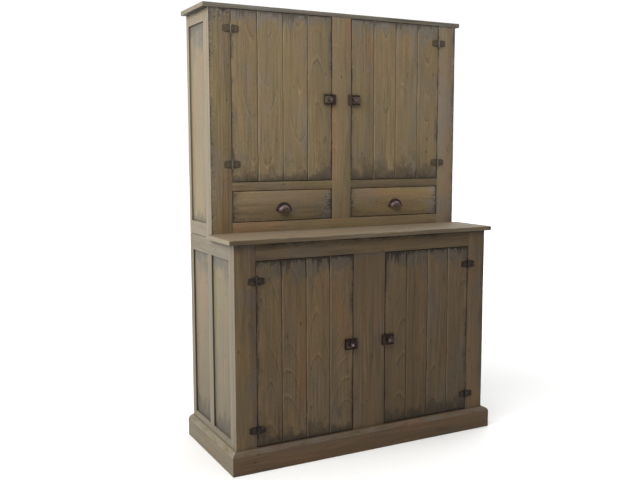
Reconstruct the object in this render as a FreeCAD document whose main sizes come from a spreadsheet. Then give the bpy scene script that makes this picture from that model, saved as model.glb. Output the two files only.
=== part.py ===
import FreeCAD, Part
import os
import Sketcher

# Step back cupboard: a deep lower case with a counter board, and a shallow upper case set back on it.
# X runs left to right, Y from front to back, Z up. The origin is at the middle of the footprint, on the floor.

doc = FreeCAD.newDocument("step_back_cupboard")
sheet = doc.addObject("Spreadsheet::Sheet", "dims")

DIMS = [
    # overall case
    ("case_w", 1320, "width over the side frames"),
    ("base_depth", 564, "depth of the lower case, face to back"),
    ("upper_depth", 300, "depth of the upper case"),
    ("plinth_out", 27, "how far the plinth stands out from the case"),
    ("plinth_flat", 76, "top of the plinth's flat face"),
    ("plinth_top", 102, "top of the plinth's moulding"),
    ("counter_z", 1013, "top of the counter board"),
    ("counter_thk", 20, "counter thickness"),
    ("counter_side", 28, "counter overhang at each side"),
    ("counter_front", 17, "counter overhang in front"),
    ("crown_z", 2003, "underside of the crown board"),
    ("crown_thk", 20, "crown thickness"),
    ("crown_side", 26, "crown overhang at each side"),
    # frames
    ("frame_thk", 22, "thickness of face frames and side frames"),
    ("panel_thk", 8, "side panel thickness"),
    ("panel_set", 8, "how far the side panels lie behind the frame"),
    ("groove_deep", 8, "depth of the panel grooves"),
    ("panel_in", 7, "how far a panel enters its groove"),
    ("back_thk", 10, "back board thickness"),
    ("back_foot", 30, "lower back boards above the floor"),
    ("base_stile", 98, "outer face stiles below"),
    ("base_mid", 168, "centre stile below"),
    ("base_rail_z", 920, "underside of the lower top rail"),
    ("base_sill", 100, "top of the lower bottom rail"),
    ("upper_stile", 100, "outer face stiles above"),
    ("upper_mid", 103, "centre stile above"),
    ("door_sill", 1242, "top of the rail between doors and drawers"),
    ("drawer_head", 1203, "underside of that rail"),
    ("drawer_sill", 1060, "top of the upper bottom rail"),
    ("tenon_long", 30, "face frame tenon length"),
    ("tenon_thk", 8, "face frame tenon thickness"),
    ("tenon_in", 10, "shoulder above and below a tenon"),
    ("side_back_stile", 41, "lower side, back stile"),
    ("side_mid_stile", 50, "lower side, middle stile"),
    ("side_mid_at", 240, "lower side, middle stile from the back"),
    ("side_front_stile", 45, "lower side, front stile behind the face frame"),
    ("side_top_rail", 73, "lower side, top rail"),
    ("side_low_rail", 128, "lower side, top of the bottom rail"),
    ("up_back_stile", 30, "upper side, back stile"),
    ("up_front_stile", 49, "upper side, front stile behind the face frame"),
    ("up_top_rail", 52, "upper side, top rail"),
    ("up_low_rail", 63, "upper side, bottom rail"),
    # doors
    ("door_gap", 2.5, "gap round doors and drawer fronts"),
    ("door_thk", 20, "door board thickness"),
    ("door_lift", 3, "lower doors above the plinth"),
    ("vee", 3, "chamfer of the V joints"),
    ("tongue", 6, "tongue length and thickness"),
    ("tongue_gap", 0.5, "room at the bottom of the groove"),
    ("batten_thk", 18, "batten thickness"),
    ("batten_w", 90, "batten width"),
    ("batten_in", 45, "battens from the door's side edges"),
    ("batten_end", 120, "batten centre from the door's ends"),
    # inside
    ("board_thk", 18, "shelves, floors and deck"),
    ("shelf_base", 520, "lower shelf, top face"),
    ("shelf_up_one", 1492, "first upper shelf, top face"),
    ("shelf_up_two", 1746, "second upper shelf, top face"),
    ("shelf_in", 54, "shelf front edge behind the face"),
    ("cleat_w", 20, "cleat width"),
    ("cleat_tall", 30, "cleat height"),
    # drawers
    ("drawer_side", 12, "drawer side thickness"),
    ("drawer_tall", 112, "drawer side height"),
    ("drawer_long", 250, "drawer box length behind the front"),
    ("drawer_base", 6, "drawer bottom thickness"),
    ("drawer_lift", 12, "drawer bottom above the side's edge"),
    ("drawer_groove", 5, "groove for the drawer bottom"),
    ("run_gap", 1, "room under and beside the drawer sides"),
    # hinges
    ("leaf_thk", 2.5, "hinge leaf thickness"),
    ("leaf_half", 17, "half the leaf height"),
    ("leaf_long", 39, "leaf length from the pin"),
    ("knuckle_r", 4.4, "knuckle radius"),
    ("pin_r", 2, "hinge pin radius"),
    ("pin_room", 0.05, "running room round the pin"),
    ("pin_out", 4.6, "pin axis in front of the face"),
    ("knuckle_mid", 5.7, "half the middle knuckle"),
    ("knuckle_gap", 0.3, "gap between knuckles"),
    ("tip_r", 3.1, "hinge pin tip radius"),
    ("hinge_up_hi", 1917, "upper doors, top hinge"),
    ("hinge_up_lo", 1323, "upper doors, bottom hinge"),
    ("hinge_lo_hi", 832, "lower doors, top hinge"),
    ("hinge_lo_lo", 179, "lower doors, bottom hinge"),
    # latches
    ("latch_w", 42, "latch case width"),
    ("latch_tall", 48, "latch case height"),
    ("latch_thk", 11, "latch case depth"),
    ("latch_wall", 5, "latch case side wall"),
    ("latch_rim", 8, "latch case top and bottom wall"),
    ("latch_front", 2, "latch case front plate"),
    ("keeper_w", 16, "keeper width"),
    ("keeper_deep", 10, "depth of the keeper's pocket"),
    ("knob_at", 13, "knob axis from the door's edge"),
    ("spindle_r", 4, "knob spindle radius"),
    ("spindle_room", 0.05, "running room round the spindle"),
    ("spindle_end", 7.4, "end of the round spindle in front of the door"),
    ("tab_w", 4, "width of the spindle's driving tab"),
    ("tab_tall", 9.4, "height of that tab"),
    ("tab_end", 2.5, "end of the tab in front of the door"),
    ("bolt_mid", 5, "bolt centre in front of the door"),
    ("bolt_tall", 18, "bolt height"),
    ("bolt_thk", 4, "bolt thickness"),
    ("bolt_long", 34, "bolt length"),
    ("bolt_in", 1, "bolt tip behind the door's edge when drawn"),
    ("bolt_room", 0.4, "room round the bolt"),
    ("bolt_win", 5.6, "half height of the bolt's window"),
    ("bolt_win_lo", 7.5, "window start from the door's edge"),
    ("bolt_win_hi", 26.5, "window end from the door's edge"),
    ("latch_up", 1622, "latch height, upper doors"),
    ("latch_lo", 508, "latch height, lower doors"),
    # pulls and screws
    ("pull_r", 41, "pull flange radius"),
    ("pull_hole", 29, "radius of the flange's open middle"),
    ("pull_thk", 2.4, "pull flange thickness"),
    ("cup_x", 32, "cup half width"),
    ("cup_y", 25, "cup depth"),
    ("cup_z", 31, "cup height"),
    ("cup_wall", 2.2, "cup wall"),
    ("pull_z", 1106, "lower edge of the pulls"),
    ("pull_screw_x", 36, "pull screws from the middle"),
    ("pull_screw_z", 6, "pull screws above the lower edge"),
    ("screw_head", 3.2, "screw head radius"),
    ("screw_cap", 1.1, "screw head height"),
    ("screw_r", 1.5, "screw shank radius"),
    ("screw_hole", 1.7, "screw hole radius in a leaf"),
    ("screw_deep", 12, "screw depth in the wood"),
]


class Size:
    """A formula over the sheet's cells, with the number that it comes to."""

    def __init__(self, value, text):
        self.value, self.text = value, text

    def __add__(self, other):
        other = size(other)
        return Size(self.value + other.value, "(%s + %s)" % (self.text, other.text))

    def __sub__(self, other):
        other = size(other)
        return Size(self.value - other.value, "(%s - %s)" % (self.text, other.text))

    def __mul__(self, other):
        other = size(other)
        return Size(self.value * other.value, "(%s * %s)" % (self.text, other.text))

    def __truediv__(self, other):
        other = size(other)
        return Size(self.value / other.value, "(%s / %s)" % (self.text, other.text))

    def __neg__(self):
        return Size(-self.value, "(0 - %s)" % self.text)


def size(x):
    return x if isinstance(x, Size) else Size(float(x), "(%s)" % repr(float(x)))


class Dims:
    pass


S = Dims()
for i, (alias, value, note) in enumerate(DIMS, start=1):
    sheet.set("A%d" % i, str(value))
    sheet.setAlias("A%d" % i, alias)
    sheet.set("B%d" % i, note)
    setattr(S, alias, Size(float(value), "dims." + alias))
doc.recompute()

HALF = S.case_w / 2
BACK = (S.base_depth + S.plinth_out) / 2
FACE_LO = BACK - S.base_depth  # front plane of the lower case
FACE_UP = BACK - S.upper_depth  # front plane of the upper case
TOP_LO = S.counter_z - S.counter_thk  # top of the lower case, under the counter
IN_X = HALF - S.frame_thk  # inner face of the side frames
IN_Y = BACK - S.back_thk  # inner face of the back boards
nodes = {}


def bind(obj, pairs):
    for prop, formula in pairs:
        obj.setExpression(prop, size(formula).text)
    return obj


def box(name, x, y, z):
    """A board between two X, two Y and two Z planes, each given as a formula."""
    o = doc.addObject("Part::Box", name)
    (x0, x1), (y0, y1), (z0, z1) = [[size(v) for v in p] for p in (x, y, z)]
    return bind(
        o,
        [
            ("Length", x1 - x0),
            ("Width", y1 - y0),
            ("Height", z1 - z0),
            ("Placement.Base.x", x0),
            ("Placement.Base.y", y0),
            ("Placement.Base.z", z0),
        ],
    )


def side(pair, s):
    """The X span on the right (s = 1) or mirrored to the left (s = -1)."""
    lo, hi = size(pair[0]), size(pair[1])
    return (lo, hi) if s > 0 else (-hi, -lo)


def at(x, s):
    return size(x) if s > 0 else -size(x)


def rod(name, x, y, z, radius, length, along="z"):
    """A round bar from a point along Z, or along -Y."""
    o = doc.addObject("Part::Cylinder", name)
    if along == "-y":
        o.Placement = FreeCAD.Placement(
            FreeCAD.Vector(), FreeCAD.Rotation(FreeCAD.Vector(1, 0, 0), 90)
        )
    return bind(
        o,
        [
            ("Radius", radius),
            ("Height", length),
            ("Placement.Base.x", x),
            ("Placement.Base.y", y),
            ("Placement.Base.z", z),
        ],
    )


def cut(name, base, tools):
    o = doc.addObject("Part::Cut", name)
    o.Base = base
    if len(tools) == 1:
        o.Tool = tools[0]
    else:
        t = doc.addObject("Part::Compound", name + "_tools")
        t.Links = tools
        o.Tool = t
    return o


def fuse(name, shapes):
    o = doc.addObject("Part::MultiFuse", name)
    o.Shapes = shapes
    o.Refine = True
    return o


def node(label, pieces):
    """Names one sub-part. Several pieces become a group of separate solids."""
    if len(pieces) == 1:
        o = pieces[0]
    else:
        o = doc.addObject("Part::Compound", "group_" + label)
        o.Links = pieces
    o.Label = label
    nodes[label] = (o, len(pieces))
    return o


def outline(body, name, role, points):
    """A closed sketch of straight lines, every corner held by its two formulas, none of them negative."""
    sk = body.newObject("Sketcher::SketchObject", name)
    origin = next(f for f in body.Origin.OriginFeatures if f.Role == role)
    sk.AttachmentSupport = [(origin, "")]
    sk.MapMode = "FlatFace"
    pts = [(size(a), size(b)) for a, b in points]
    n = len(pts)
    for i in range(n):
        a, b = pts[i], pts[(i + 1) % n]
        sk.addGeometry(
            Part.LineSegment(
                FreeCAD.Vector(a[0].value, a[1].value, 0),
                FreeCAD.Vector(b[0].value, b[1].value, 0),
            ),
            False,
        )
    for i in range(n):
        sk.addConstraint(Sketcher.Constraint("Coincident", i, 2, (i + 1) % n, 1))
    for i, (px, py) in enumerate(pts):
        for kind, f, axis in (("DistanceX", px, -2), ("DistanceY", py, -1)):
            if abs(f.value) < 1e-9:
                sk.addConstraint(Sketcher.Constraint("PointOnObject", i, 1, axis))
            else:
                c = sk.addConstraint(Sketcher.Constraint(kind, -1, 1, i, 1, f.value))
                sk.setExpression("Constraints[%d]" % c, f.text)
    return sk


def place(body, base, turn):
    if turn:
        body.Placement = FreeCAD.Placement(
            FreeCAD.Vector(), FreeCAD.Rotation(FreeCAD.Vector(*turn[0]), turn[1])
        )
    return bind(body, [("Placement.Base." + k, f) for k, f in zip("xyz", base)])


def prism(name, role, points, length, base, turn=None):
    """A body padded from an outline, placed by three formulas and, where given, a turn."""
    body = doc.addObject("PartDesign::Body", name)
    sk = outline(body, name + "_outline", role, points)
    pad = body.newObject("PartDesign::Pad", name + "_pad")
    pad.Profile = sk
    pad.setExpression("Length", size(length).text)
    return place(body, base, turn)


# ---------------------------------------------------------------- plinth
# The boards stand round the case on three sides. Their top edge rounds over and then sweeps up to the case.
PLINTH = [
    (0, 0),
    (S.plinth_out, 0),
    (S.plinth_out, S.plinth_flat),
] + [
    (S.plinth_out * p, S.plinth_flat + (S.plinth_top - S.plinth_flat) * r)
    for p, r in (
        (0.985, 0.17),
        (0.94, 0.35),
        (0.865, 0.50),
        (0.75, 0.64),
        (0.60, 0.755),
        (0.43, 0.84),
        (0.26, 0.90),
        (0.12, 0.95),
    )
] + [(0, S.plinth_top)]


def mitre(name, x, y, angle):
    """A block with one face on a corner's 45 degree line, to cut a mitre."""
    o = doc.addObject("Part::Box", name)
    o.Placement = FreeCAD.Placement(
        FreeCAD.Vector(), FreeCAD.Rotation(FreeCAD.Vector(0, 0, 1), angle)
    )
    return bind(
        o,
        [
            ("Length", S.plinth_out * 6),
            ("Width", S.plinth_out * 6),
            ("Height", S.plinth_top * 2),
            ("Placement.Base.x", x),
            ("Placement.Base.y", y),
            ("Placement.Base.z", -S.plinth_flat / 4),
        ],
    )


OUT_X = HALF + S.plinth_out
OUT_Y = FACE_LO - S.plinth_out
plinth_front = prism(
    "plinth_front",
    "XZ_Plane",
    PLINTH,
    S.case_w + S.plinth_out * 2,
    (OUT_X, FACE_LO, 0),
    ((0, 0, 1), -90),
)
plinth_left = prism(
    "plinth_left",
    "XZ_Plane",
    PLINTH,
    S.base_depth + S.plinth_out,
    (-HALF, OUT_Y, 0),
    ((0, 0, 1), 180),
)
plinth_right = prism(
    "plinth_right", "XZ_Plane", PLINTH, S.base_depth + S.plinth_out, (HALF, BACK, 0)
)
node(
    "plinth_boards",
    [
        cut(
            "plinth_front_mitred",
            plinth_front,
            [
                mitre("mitre_fl", -OUT_X - 30, OUT_Y - 30, 45),
                mitre("mitre_fr", OUT_X + 30, OUT_Y - 30, 45),
            ],
        ),
        cut(
            "plinth_left_mitred",
            plinth_left,
            [mitre("mitre_l", -HALF + 30, FACE_LO + 30, -135)],
        ),
        cut(
            "plinth_right_mitred",
            plinth_right,
            [mitre("mitre_r", HALF - 30, FACE_LO + 30, -135)],
        ),
    ],
)

# ---------------------------------------------------------------- side frames
# Stiles are grooved along their inner edges. Rails and the middle stile end in tongues that fill the grooves, and the panels float in them.
PANEL_X = (HALF - S.panel_set - S.panel_thk, HALF - S.panel_set)
FRAME_X = (IN_X, HALF)


def member(name, s, y, z, tongue_y=(), tongue_z=(), groove_y=(), groove_z=()):
    """A frame member with tongues and grooves. Each is 'lo' or 'hi', the end or edge that has it."""
    g = S.groove_deep
    (y0, y1), (z0, z1) = [[size(v) for v in p] for p in (y, z)]
    solid = box(name + "_blank", side(FRAME_X, s), (y0, y1), (z0, z1))
    ty = (y0 - g if "lo" in tongue_y else y0, y1 + g if "hi" in tongue_y else y1)
    tz = (z0 - g if "lo" in tongue_z else z0, z1 + g if "hi" in tongue_z else z1)
    if tongue_y or tongue_z:
        tongue = box(name + "_tongue", side(PANEL_X, s), ty, tz)
        solid = fuse(name + "_tongued", [solid, tongue])
    tools = []
    for end in groove_y:
        span = (y0, y0 + g) if end == "lo" else (y1 - g, y1)
        tools.append(box("%s_groove_y%s" % (name, end), side(PANEL_X, s), span, tz))
    for end in groove_z:
        span = (z0, z0 + g) if end == "lo" else (z1 - g, z1)
        tools.append(box("%s_groove_z%s" % (name, end), side(PANEL_X, s), ty, span))
    return cut(name, solid, tools) if tools else solid


def panel(name, s, y, z):
    e = S.panel_in
    return box(name, side(PANEL_X, s), (y[0] - e, y[1] + e), (z[0] - e, z[1] + e))


stiles, rails, panels = [], [], []
for s, tag in ((-1, "l"), (1, "r")):
    yf0 = FACE_LO + S.frame_thk
    yf1 = yf0 + S.side_front_stile
    ym1 = BACK - S.side_mid_at
    ym0 = ym1 - S.side_mid_stile
    yb0 = BACK - S.side_back_stile
    zr0, zr1 = S.side_low_rail, TOP_LO - S.side_top_rail
    stiles += [
        member("base_front_stile_" + tag, s, (yf0, yf1), (0, TOP_LO), groove_y=["hi"]),
        member("base_back_stile_" + tag, s, (yb0, BACK), (0, TOP_LO), groove_y=["lo"]),
        member(
            "base_mid_stile_" + tag,
            s,
            (ym0, ym1),
            (zr0, zr1),
            tongue_z=["lo", "hi"],
            groove_y=["lo", "hi"],
        ),
    ]
    rails += [
        member(
            "base_low_rail_" + tag,
            s,
            (yf1, yb0),
            (0, zr0),
            tongue_y=["lo", "hi"],
            groove_z=["hi"],
        ),
        member(
            "base_high_rail_" + tag,
            s,
            (yf1, yb0),
            (zr1, TOP_LO),
            tongue_y=["lo", "hi"],
            groove_z=["lo"],
        ),
    ]
    panels += [
        panel("base_panel_front_" + tag, s, (yf1, ym0), (zr0, zr1)),
        panel("base_panel_back_" + tag, s, (ym1, yb0), (zr0, zr1)),
    ]
node("base_side_stiles", stiles)
node("base_side_rails", rails)
node("base_side_panels", panels)

stiles, rails, panels = [], [], []
for s, tag in ((-1, "l"), (1, "r")):
    yf0 = FACE_UP + S.frame_thk
    yf1 = yf0 + S.up_front_stile
    yb0 = BACK - S.up_back_stile
    zr0, zr1 = TOP_LO + S.up_low_rail, S.crown_z - S.up_top_rail
    stiles += [
        member(
            "up_front_stile_" + tag, s, (yf0, yf1), (TOP_LO, S.crown_z), groove_y=["hi"]
        ),
        member(
            "up_back_stile_" + tag, s, (yb0, BACK), (TOP_LO, S.crown_z), groove_y=["lo"]
        ),
    ]
    rails += [
        member(
            "up_low_rail_" + tag,
            s,
            (yf1, yb0),
            (TOP_LO, zr0),
            tongue_y=["lo", "hi"],
            groove_z=["hi"],
        ),
        member(
            "up_high_rail_" + tag,
            s,
            (yf1, yb0),
            (zr1, S.crown_z),
            tongue_y=["lo", "hi"],
            groove_z=["lo"],
        ),
    ]
    panels.append(panel("up_panel_" + tag, s, (yf1, yb0), (zr0, zr1)))
node("upper_side_stiles", stiles)
node("upper_side_rails", rails)
node("upper_side_panels", panels)

# ---------------------------------------------------------------- face frames
# Rails and centre stiles are tenoned into their neighbours, and each mortise is the tenon's own size.


def face_y(face):
    return (face, face + S.frame_thk)


def tenon_y(face):
    mid = face + S.frame_thk / 2
    return (mid - S.tenon_thk / 2, mid + S.tenon_thk / 2)


def tenon_box(name, face, x, z):
    return box(name, x, tenon_y(face), z)


def inset(pair):
    return (size(pair[0]) + S.tenon_in, size(pair[1]) - S.tenon_in)


T = S.tenon_long

# lower face frame
LX = HALF - S.base_stile  # inner edges of the outer stiles
MX = S.base_mid / 2
top_z, low_z = (S.base_rail_z, TOP_LO), (0, S.base_sill)
stiles = []
for s, tag in ((-1, "l"), (1, "r")):
    blank = box(
        "base_face_stile_blank_" + tag,
        side((LX, HALF), s),
        face_y(FACE_LO),
        (0, TOP_LO),
    )
    stiles.append(
        cut(
            "base_face_stile_" + tag,
            blank,
            [
                tenon_box(
                    "base_mortise_hi_" + tag, FACE_LO, side((LX, LX + T), s), inset(top_z)
                ),
                tenon_box(
                    "base_mortise_lo_" + tag, FACE_LO, side((LX, LX + T), s), inset(low_z)
                ),
            ],
        )
    )
stiles.append(
    fuse(
        "base_centre_stile",
        [
            box(
                "base_centre_blank",
                (-MX, MX),
                face_y(FACE_LO),
                (S.base_sill, S.base_rail_z),
            ),
            tenon_box(
                "base_centre_tenons",
                FACE_LO,
                inset((-MX, MX)),
                (S.base_sill - T, S.base_rail_z + T),
            ),
        ],
    )
)
node("base_face_stiles", stiles)
rails = []
for tag, z, mortise in (
    ("hi", top_z, (S.base_rail_z, S.base_rail_z + T)),
    ("lo", low_z, (S.base_sill - T, S.base_sill)),
):
    rail = fuse(
        "base_face_rail_tenoned_" + tag,
        [
            box("base_face_rail_blank_" + tag, (-LX, LX), face_y(FACE_LO), z),
            tenon_box("base_face_tenons_" + tag, FACE_LO, (-LX - T, LX + T), inset(z)),
        ],
    )
    rails.append(
        cut(
            "base_face_rail_" + tag,
            rail,
            [
                tenon_box(
                    "base_centre_mortise_" + tag, FACE_LO, inset((-MX, MX)), mortise
                )
            ],
        )
    )
node("base_face_rails", rails)

# upper face frame: the centre stile runs from the bottom rail up to the crown
UX = HALF - S.upper_stile
CX = S.upper_mid / 2
mid_z, low_z = (S.drawer_head, S.door_sill), (TOP_LO, S.drawer_sill)
stiles = []
for s, tag in ((-1, "l"), (1, "r")):
    blank = box(
        "up_face_stile_blank_" + tag,
        side((UX, HALF), s),
        face_y(FACE_UP),
        (TOP_LO, S.crown_z),
    )
    stiles.append(
        cut(
            "up_face_stile_" + tag,
            blank,
            [
                tenon_box(
                    "up_mortise_mid_" + tag, FACE_UP, side((UX, UX + T), s), inset(mid_z)
                ),
                tenon_box(
                    "up_mortise_lo_" + tag, FACE_UP, side((UX, UX + T), s), inset(low_z)
                ),
            ],
        )
    )
centre = fuse(
    "up_centre_tenoned",
    [
        box("up_centre_blank", (-CX, CX), face_y(FACE_UP), (S.drawer_sill, S.crown_z)),
        tenon_box(
            "up_centre_tenon",
            FACE_UP,
            inset((-CX, CX)),
            (S.drawer_sill - T, S.drawer_sill),
        ),
    ],
)
stiles.append(
    cut(
        "up_centre_stile",
        centre,
        [
            tenon_box(
                "up_centre_mortise_" + tag, FACE_UP, side((CX - T, CX), s), inset(mid_z)
            )
            for s, tag in ((-1, "l"), (1, "r"))
        ],
    )
)
node("upper_face_stiles", stiles)
rails = []
for s, tag in ((-1, "l"), (1, "r")):
    rails.append(
        fuse(
            "up_mid_rail_" + tag,
            [
                box("up_mid_rail_blank_" + tag, side((CX, UX), s), face_y(FACE_UP), mid_z),
                tenon_box(
                    "up_mid_rail_tenons_" + tag,
                    FACE_UP,
                    side((CX - T, UX + T), s),
                    inset(mid_z),
                ),
            ],
        )
    )
rail = fuse(
    "up_low_face_rail_tenoned",
    [
        box("up_low_face_rail_blank", (-UX, UX), face_y(FACE_UP), low_z),
        tenon_box("up_low_face_rail_tenons", FACE_UP, (-UX - T, UX + T), inset(low_z)),
    ],
)
rails.append(
    cut(
        "up_low_face_rail",
        rail,
        [
            tenon_box(
                "up_low_face_mortise",
                FACE_UP,
                inset((-CX, CX)),
                (S.drawer_sill - T, S.drawer_sill),
            )
        ],
    )
)
node("upper_face_rails", rails)

# ---------------------------------------------------------------- boards inside and on top
B = S.board_thk
across = (-IN_X, IN_X)
lo_y = (FACE_LO + S.frame_thk, IN_Y)
up_y = (FACE_UP + S.frame_thk, IN_Y)
node("base_floor", [box("floor_board", across, lo_y, (S.base_sill - B, S.base_sill))])
node("base_sub_top", [box("sub_top_board", across, lo_y, (TOP_LO - B, TOP_LO))])
node(
    "upper_drawer_floor",
    [box("drawer_floor_board", across, up_y, (S.drawer_sill - B, S.drawer_sill))],
)
node("upper_deck", [box("deck_board", across, up_y, (S.door_sill - B, S.door_sill))])
node(
    "counter_top",
    [
        box(
            "counter_board",
            (-HALF - S.counter_side, HALF + S.counter_side),
            (FACE_LO - S.counter_front, FACE_UP),
            (TOP_LO, S.counter_z),
        )
    ],
)
node(
    "crown_board",
    [
        box(
            "crown",
            (-HALF - S.crown_side, HALF + S.crown_side),
            (FACE_UP, BACK),
            (S.crown_z, S.crown_z + S.crown_thk),
        )
    ],
)
for label, z in (
    ("base_back_boards", (S.back_foot, TOP_LO)),
    ("upper_back_boards", (TOP_LO, S.crown_z)),
):
    count = 6
    step = IN_X * 2 / count
    node(
        label,
        [
            box(
                "%s_%d" % (label, i + 1),
                (-IN_X + step * i, -IN_X + step * (i + 1)),
                (IN_Y, BACK),
                z,
            )
            for i in range(count)
        ],
    )
shelves, cleats = [], []
for tag, face, z in (
    ("base", FACE_LO, S.shelf_base),
    ("up_one", FACE_UP, S.shelf_up_one),
    ("up_two", FACE_UP, S.shelf_up_two),
):
    y = (face + S.shelf_in, IN_Y - S.run_gap)
    shelves.append(
        box("shelf_" + tag, (-IN_X + S.run_gap, IN_X - S.run_gap), y, (z - B, z))
    )
    for s, hand in ((-1, "l"), (1, "r")):
        cleats.append(
            box(
                "cleat_%s_%s" % (tag, hand),
                side((IN_X - S.cleat_w, IN_X), s),
                (y[0] + S.cleat_tall, y[1]),
                (z - B - S.cleat_tall, z - B),
            )
        )
node("shelves", shelves)
node("shelf_cleats", cleats)
guides = [
    box(
        "drawer_divider",
        (-B / 2, B / 2),
        up_y,
        (S.drawer_sill, S.door_sill - B),
    )
]
for s, tag in ((-1, "l"), (1, "r")):
    for part, x in (
        ("in", (CX + S.door_gap - S.cleat_w, CX + S.door_gap)),
        ("out", (UX - S.door_gap, UX - S.door_gap + S.cleat_w)),
    ):
        guides.append(
            box(
                "guide_%s_%s" % (part, tag),
                side(x, s),
                up_y,
                (S.drawer_sill, S.drawer_sill + S.cleat_tall),
            )
        )
node("drawer_guides", guides)

# ---------------------------------------------------------------- screws


def screw(name, x, face, z, proud):
    """A round-headed wood screw driven from the front. proud is the thickness of what it holds."""
    return fuse(
        name,
        [
            rod(name + "_head", x, face - proud, z, S.screw_head, S.screw_cap, "-y"),
            rod(
                name + "_shank",
                x,
                face + S.screw_deep,
                z,
                S.screw_r,
                S.screw_deep + proud,
                "-y",
            ),
        ],
    )


def hole(name, x, face, z, through):
    return rod(name, x, face + 1, z, S.screw_hole, size(through) + 2, "-y")


# ---------------------------------------------------------------- hinges
# A leaf's outline from the pin outwards: a square body and a blunt end of two lobes.
LL, LH = S.leaf_long, S.leaf_half
U0 = S.knuckle_r + 0.5
LEAF = [
    (U0, 0),
    (LL * 0.74, 0),
    (LL * 0.90, LH * 0.12),
    (LL * 0.98, LH * 0.34),
    (LL, LH * 0.56),
    (LL * 0.97, LH * 0.80),
    (LL * 0.93, LH),
    (LL * 0.97, LH * 1.20),
    (LL, LH * 1.44),
    (LL * 0.98, LH * 1.66),
    (LL * 0.90, LH * 1.88),
    (LL * 0.74, LH * 2),
    (U0, LH * 2),
]
LEAF_HOLES = [
    (LL * 0.36, -LH * 0.55),
    (LL * 0.36, LH * 0.55),
    (LL * 0.80, size(0)),
]


def leaf(name, hx, face, hz, out, knuckles, bore):
    """One hinge leaf, out = 1 to the right of the pin or -1 to the left, with its knuckles as (z0, z1) from the middle."""
    if out > 0:
        plate = prism(name + "_plate", "XZ_Plane", LEAF, S.leaf_thk, (hx, face, hz - LH))
    else:
        plate = prism(
            name + "_plate",
            "XZ_Plane",
            LEAF,
            S.leaf_thk,
            (hx, face, hz + LH),
            ((0, 1, 0), 180),
        )
    solids = [plate]
    for i, (k0, k1) in enumerate(knuckles):
        span = (hz + k0, hz + k1)
        reach = (S.knuckle_r * 0.64, U0 + 1)
        x = (hx + reach[0], hx + reach[1]) if out > 0 else (hx - reach[1], hx - reach[0])
        solids.append(box("%s_arm%d" % (name, i), x, (face - S.leaf_thk, face), span))
        solids.append(
            rod(
                "%s_knuckle%d" % (name, i),
                hx,
                face - S.pin_out,
                span[0],
                S.knuckle_r,
                span[1] - span[0],
            )
        )
    whole = fuse(name + "_whole", solids)
    tools = [
        rod(
            name + "_bore",
            hx,
            face - S.pin_out,
            hz - LH - 2,
            bore,
            LH * 2 + 4,
        )
    ]
    for i, (u, v) in enumerate(LEAF_HOLES):
        x = hx + u if out > 0 else hx - u
        tools.append(hole("%s_hole%d" % (name, i), x, face, hz + v, S.leaf_thk))
    return cut(name, whole, tools)


def leaf_screws(name, hx, face, hz, out):
    return [
        screw(
            "%s_screw%d" % (name, i),
            hx + u if out > 0 else hx - u,
            face,
            hz + v,
            S.leaf_thk,
        )
        for i, (u, v) in enumerate(LEAF_HOLES)
    ]


MID = [(-S.knuckle_mid, S.knuckle_mid)]
ENDS = [
    (-LH, -S.knuckle_mid - S.knuckle_gap),
    (S.knuckle_mid + S.knuckle_gap, LH),
]


def ball(name, x, y, z, radius):
    o = doc.addObject("Part::Sphere", name)
    return bind(
        o,
        [
            ("Radius", radius),
            ("Placement.Base.x", x),
            ("Placement.Base.y", y),
            ("Placement.Base.z", z),
        ],
    )


def pin(name, hx, face, hz):
    y = face - S.pin_out
    end = LH + S.tip_r + 0.1
    return fuse(
        name,
        [
            rod(name + "_bar", hx, y, hz - end, S.pin_r, end * 2),
            ball(name + "_low", hx, y, hz - end, S.tip_r),
            ball(name + "_high", hx, y, hz + end, S.tip_r),
        ],
    )


# ---------------------------------------------------------------- latches


def latch(name, s, face, edge, z):
    """The case, on the door. edge is the door's free edge, measured from the middle of the cupboard."""
    y_out = face - S.latch_thk
    blank = box(
        name + "_blank",
        side((edge, edge + S.latch_w), s),
        (y_out, face),
        (z - S.latch_tall / 2, z + S.latch_tall / 2),
    )
    inner = S.latch_tall / 2 - S.latch_rim
    tools = [
        box(
            name + "_cavity",
            side((edge + S.latch_wall, edge + S.latch_w - S.latch_wall), s),
            (y_out + S.latch_front, face),
            (z - inner, z + inner),
        ),
        box(
            name + "_slot",
            side((edge - 1, edge + S.latch_wall + 1), s),
            (
                face - S.bolt_mid - S.bolt_thk / 2 - S.bolt_room,
                face - S.bolt_mid + S.bolt_thk / 2 + S.bolt_room,
            ),
            (z - S.bolt_tall / 2 - S.bolt_room, z + S.bolt_tall / 2 + S.bolt_room),
        ),
        rod(
            name + "_spindle_hole",
            at(edge + S.knob_at, s),
            face,
            z,
            S.spindle_r + S.spindle_room,
            S.latch_thk + 2,
            "-y",
        ),
    ]
    for i, dz in enumerate((-1, 1)):
        tools.append(
            hole(
                "%s_hole%d" % (name, i),
                at(edge + S.latch_w / 2, s),
                face,
                z + (S.latch_tall / 2 - S.latch_rim / 2) * dz,
                S.latch_thk,
            )
        )
    return cut(name, blank, tools)


def latch_screws(name, s, face, edge, z):
    return [
        screw(
            "%s_screw%d" % (name, i),
            at(edge + S.latch_w / 2, s),
            face,
            z + (S.latch_tall / 2 - S.latch_rim / 2) * dz,
            S.latch_thk,
        )
        for i, dz in enumerate((-1, 1))
    ]


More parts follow.
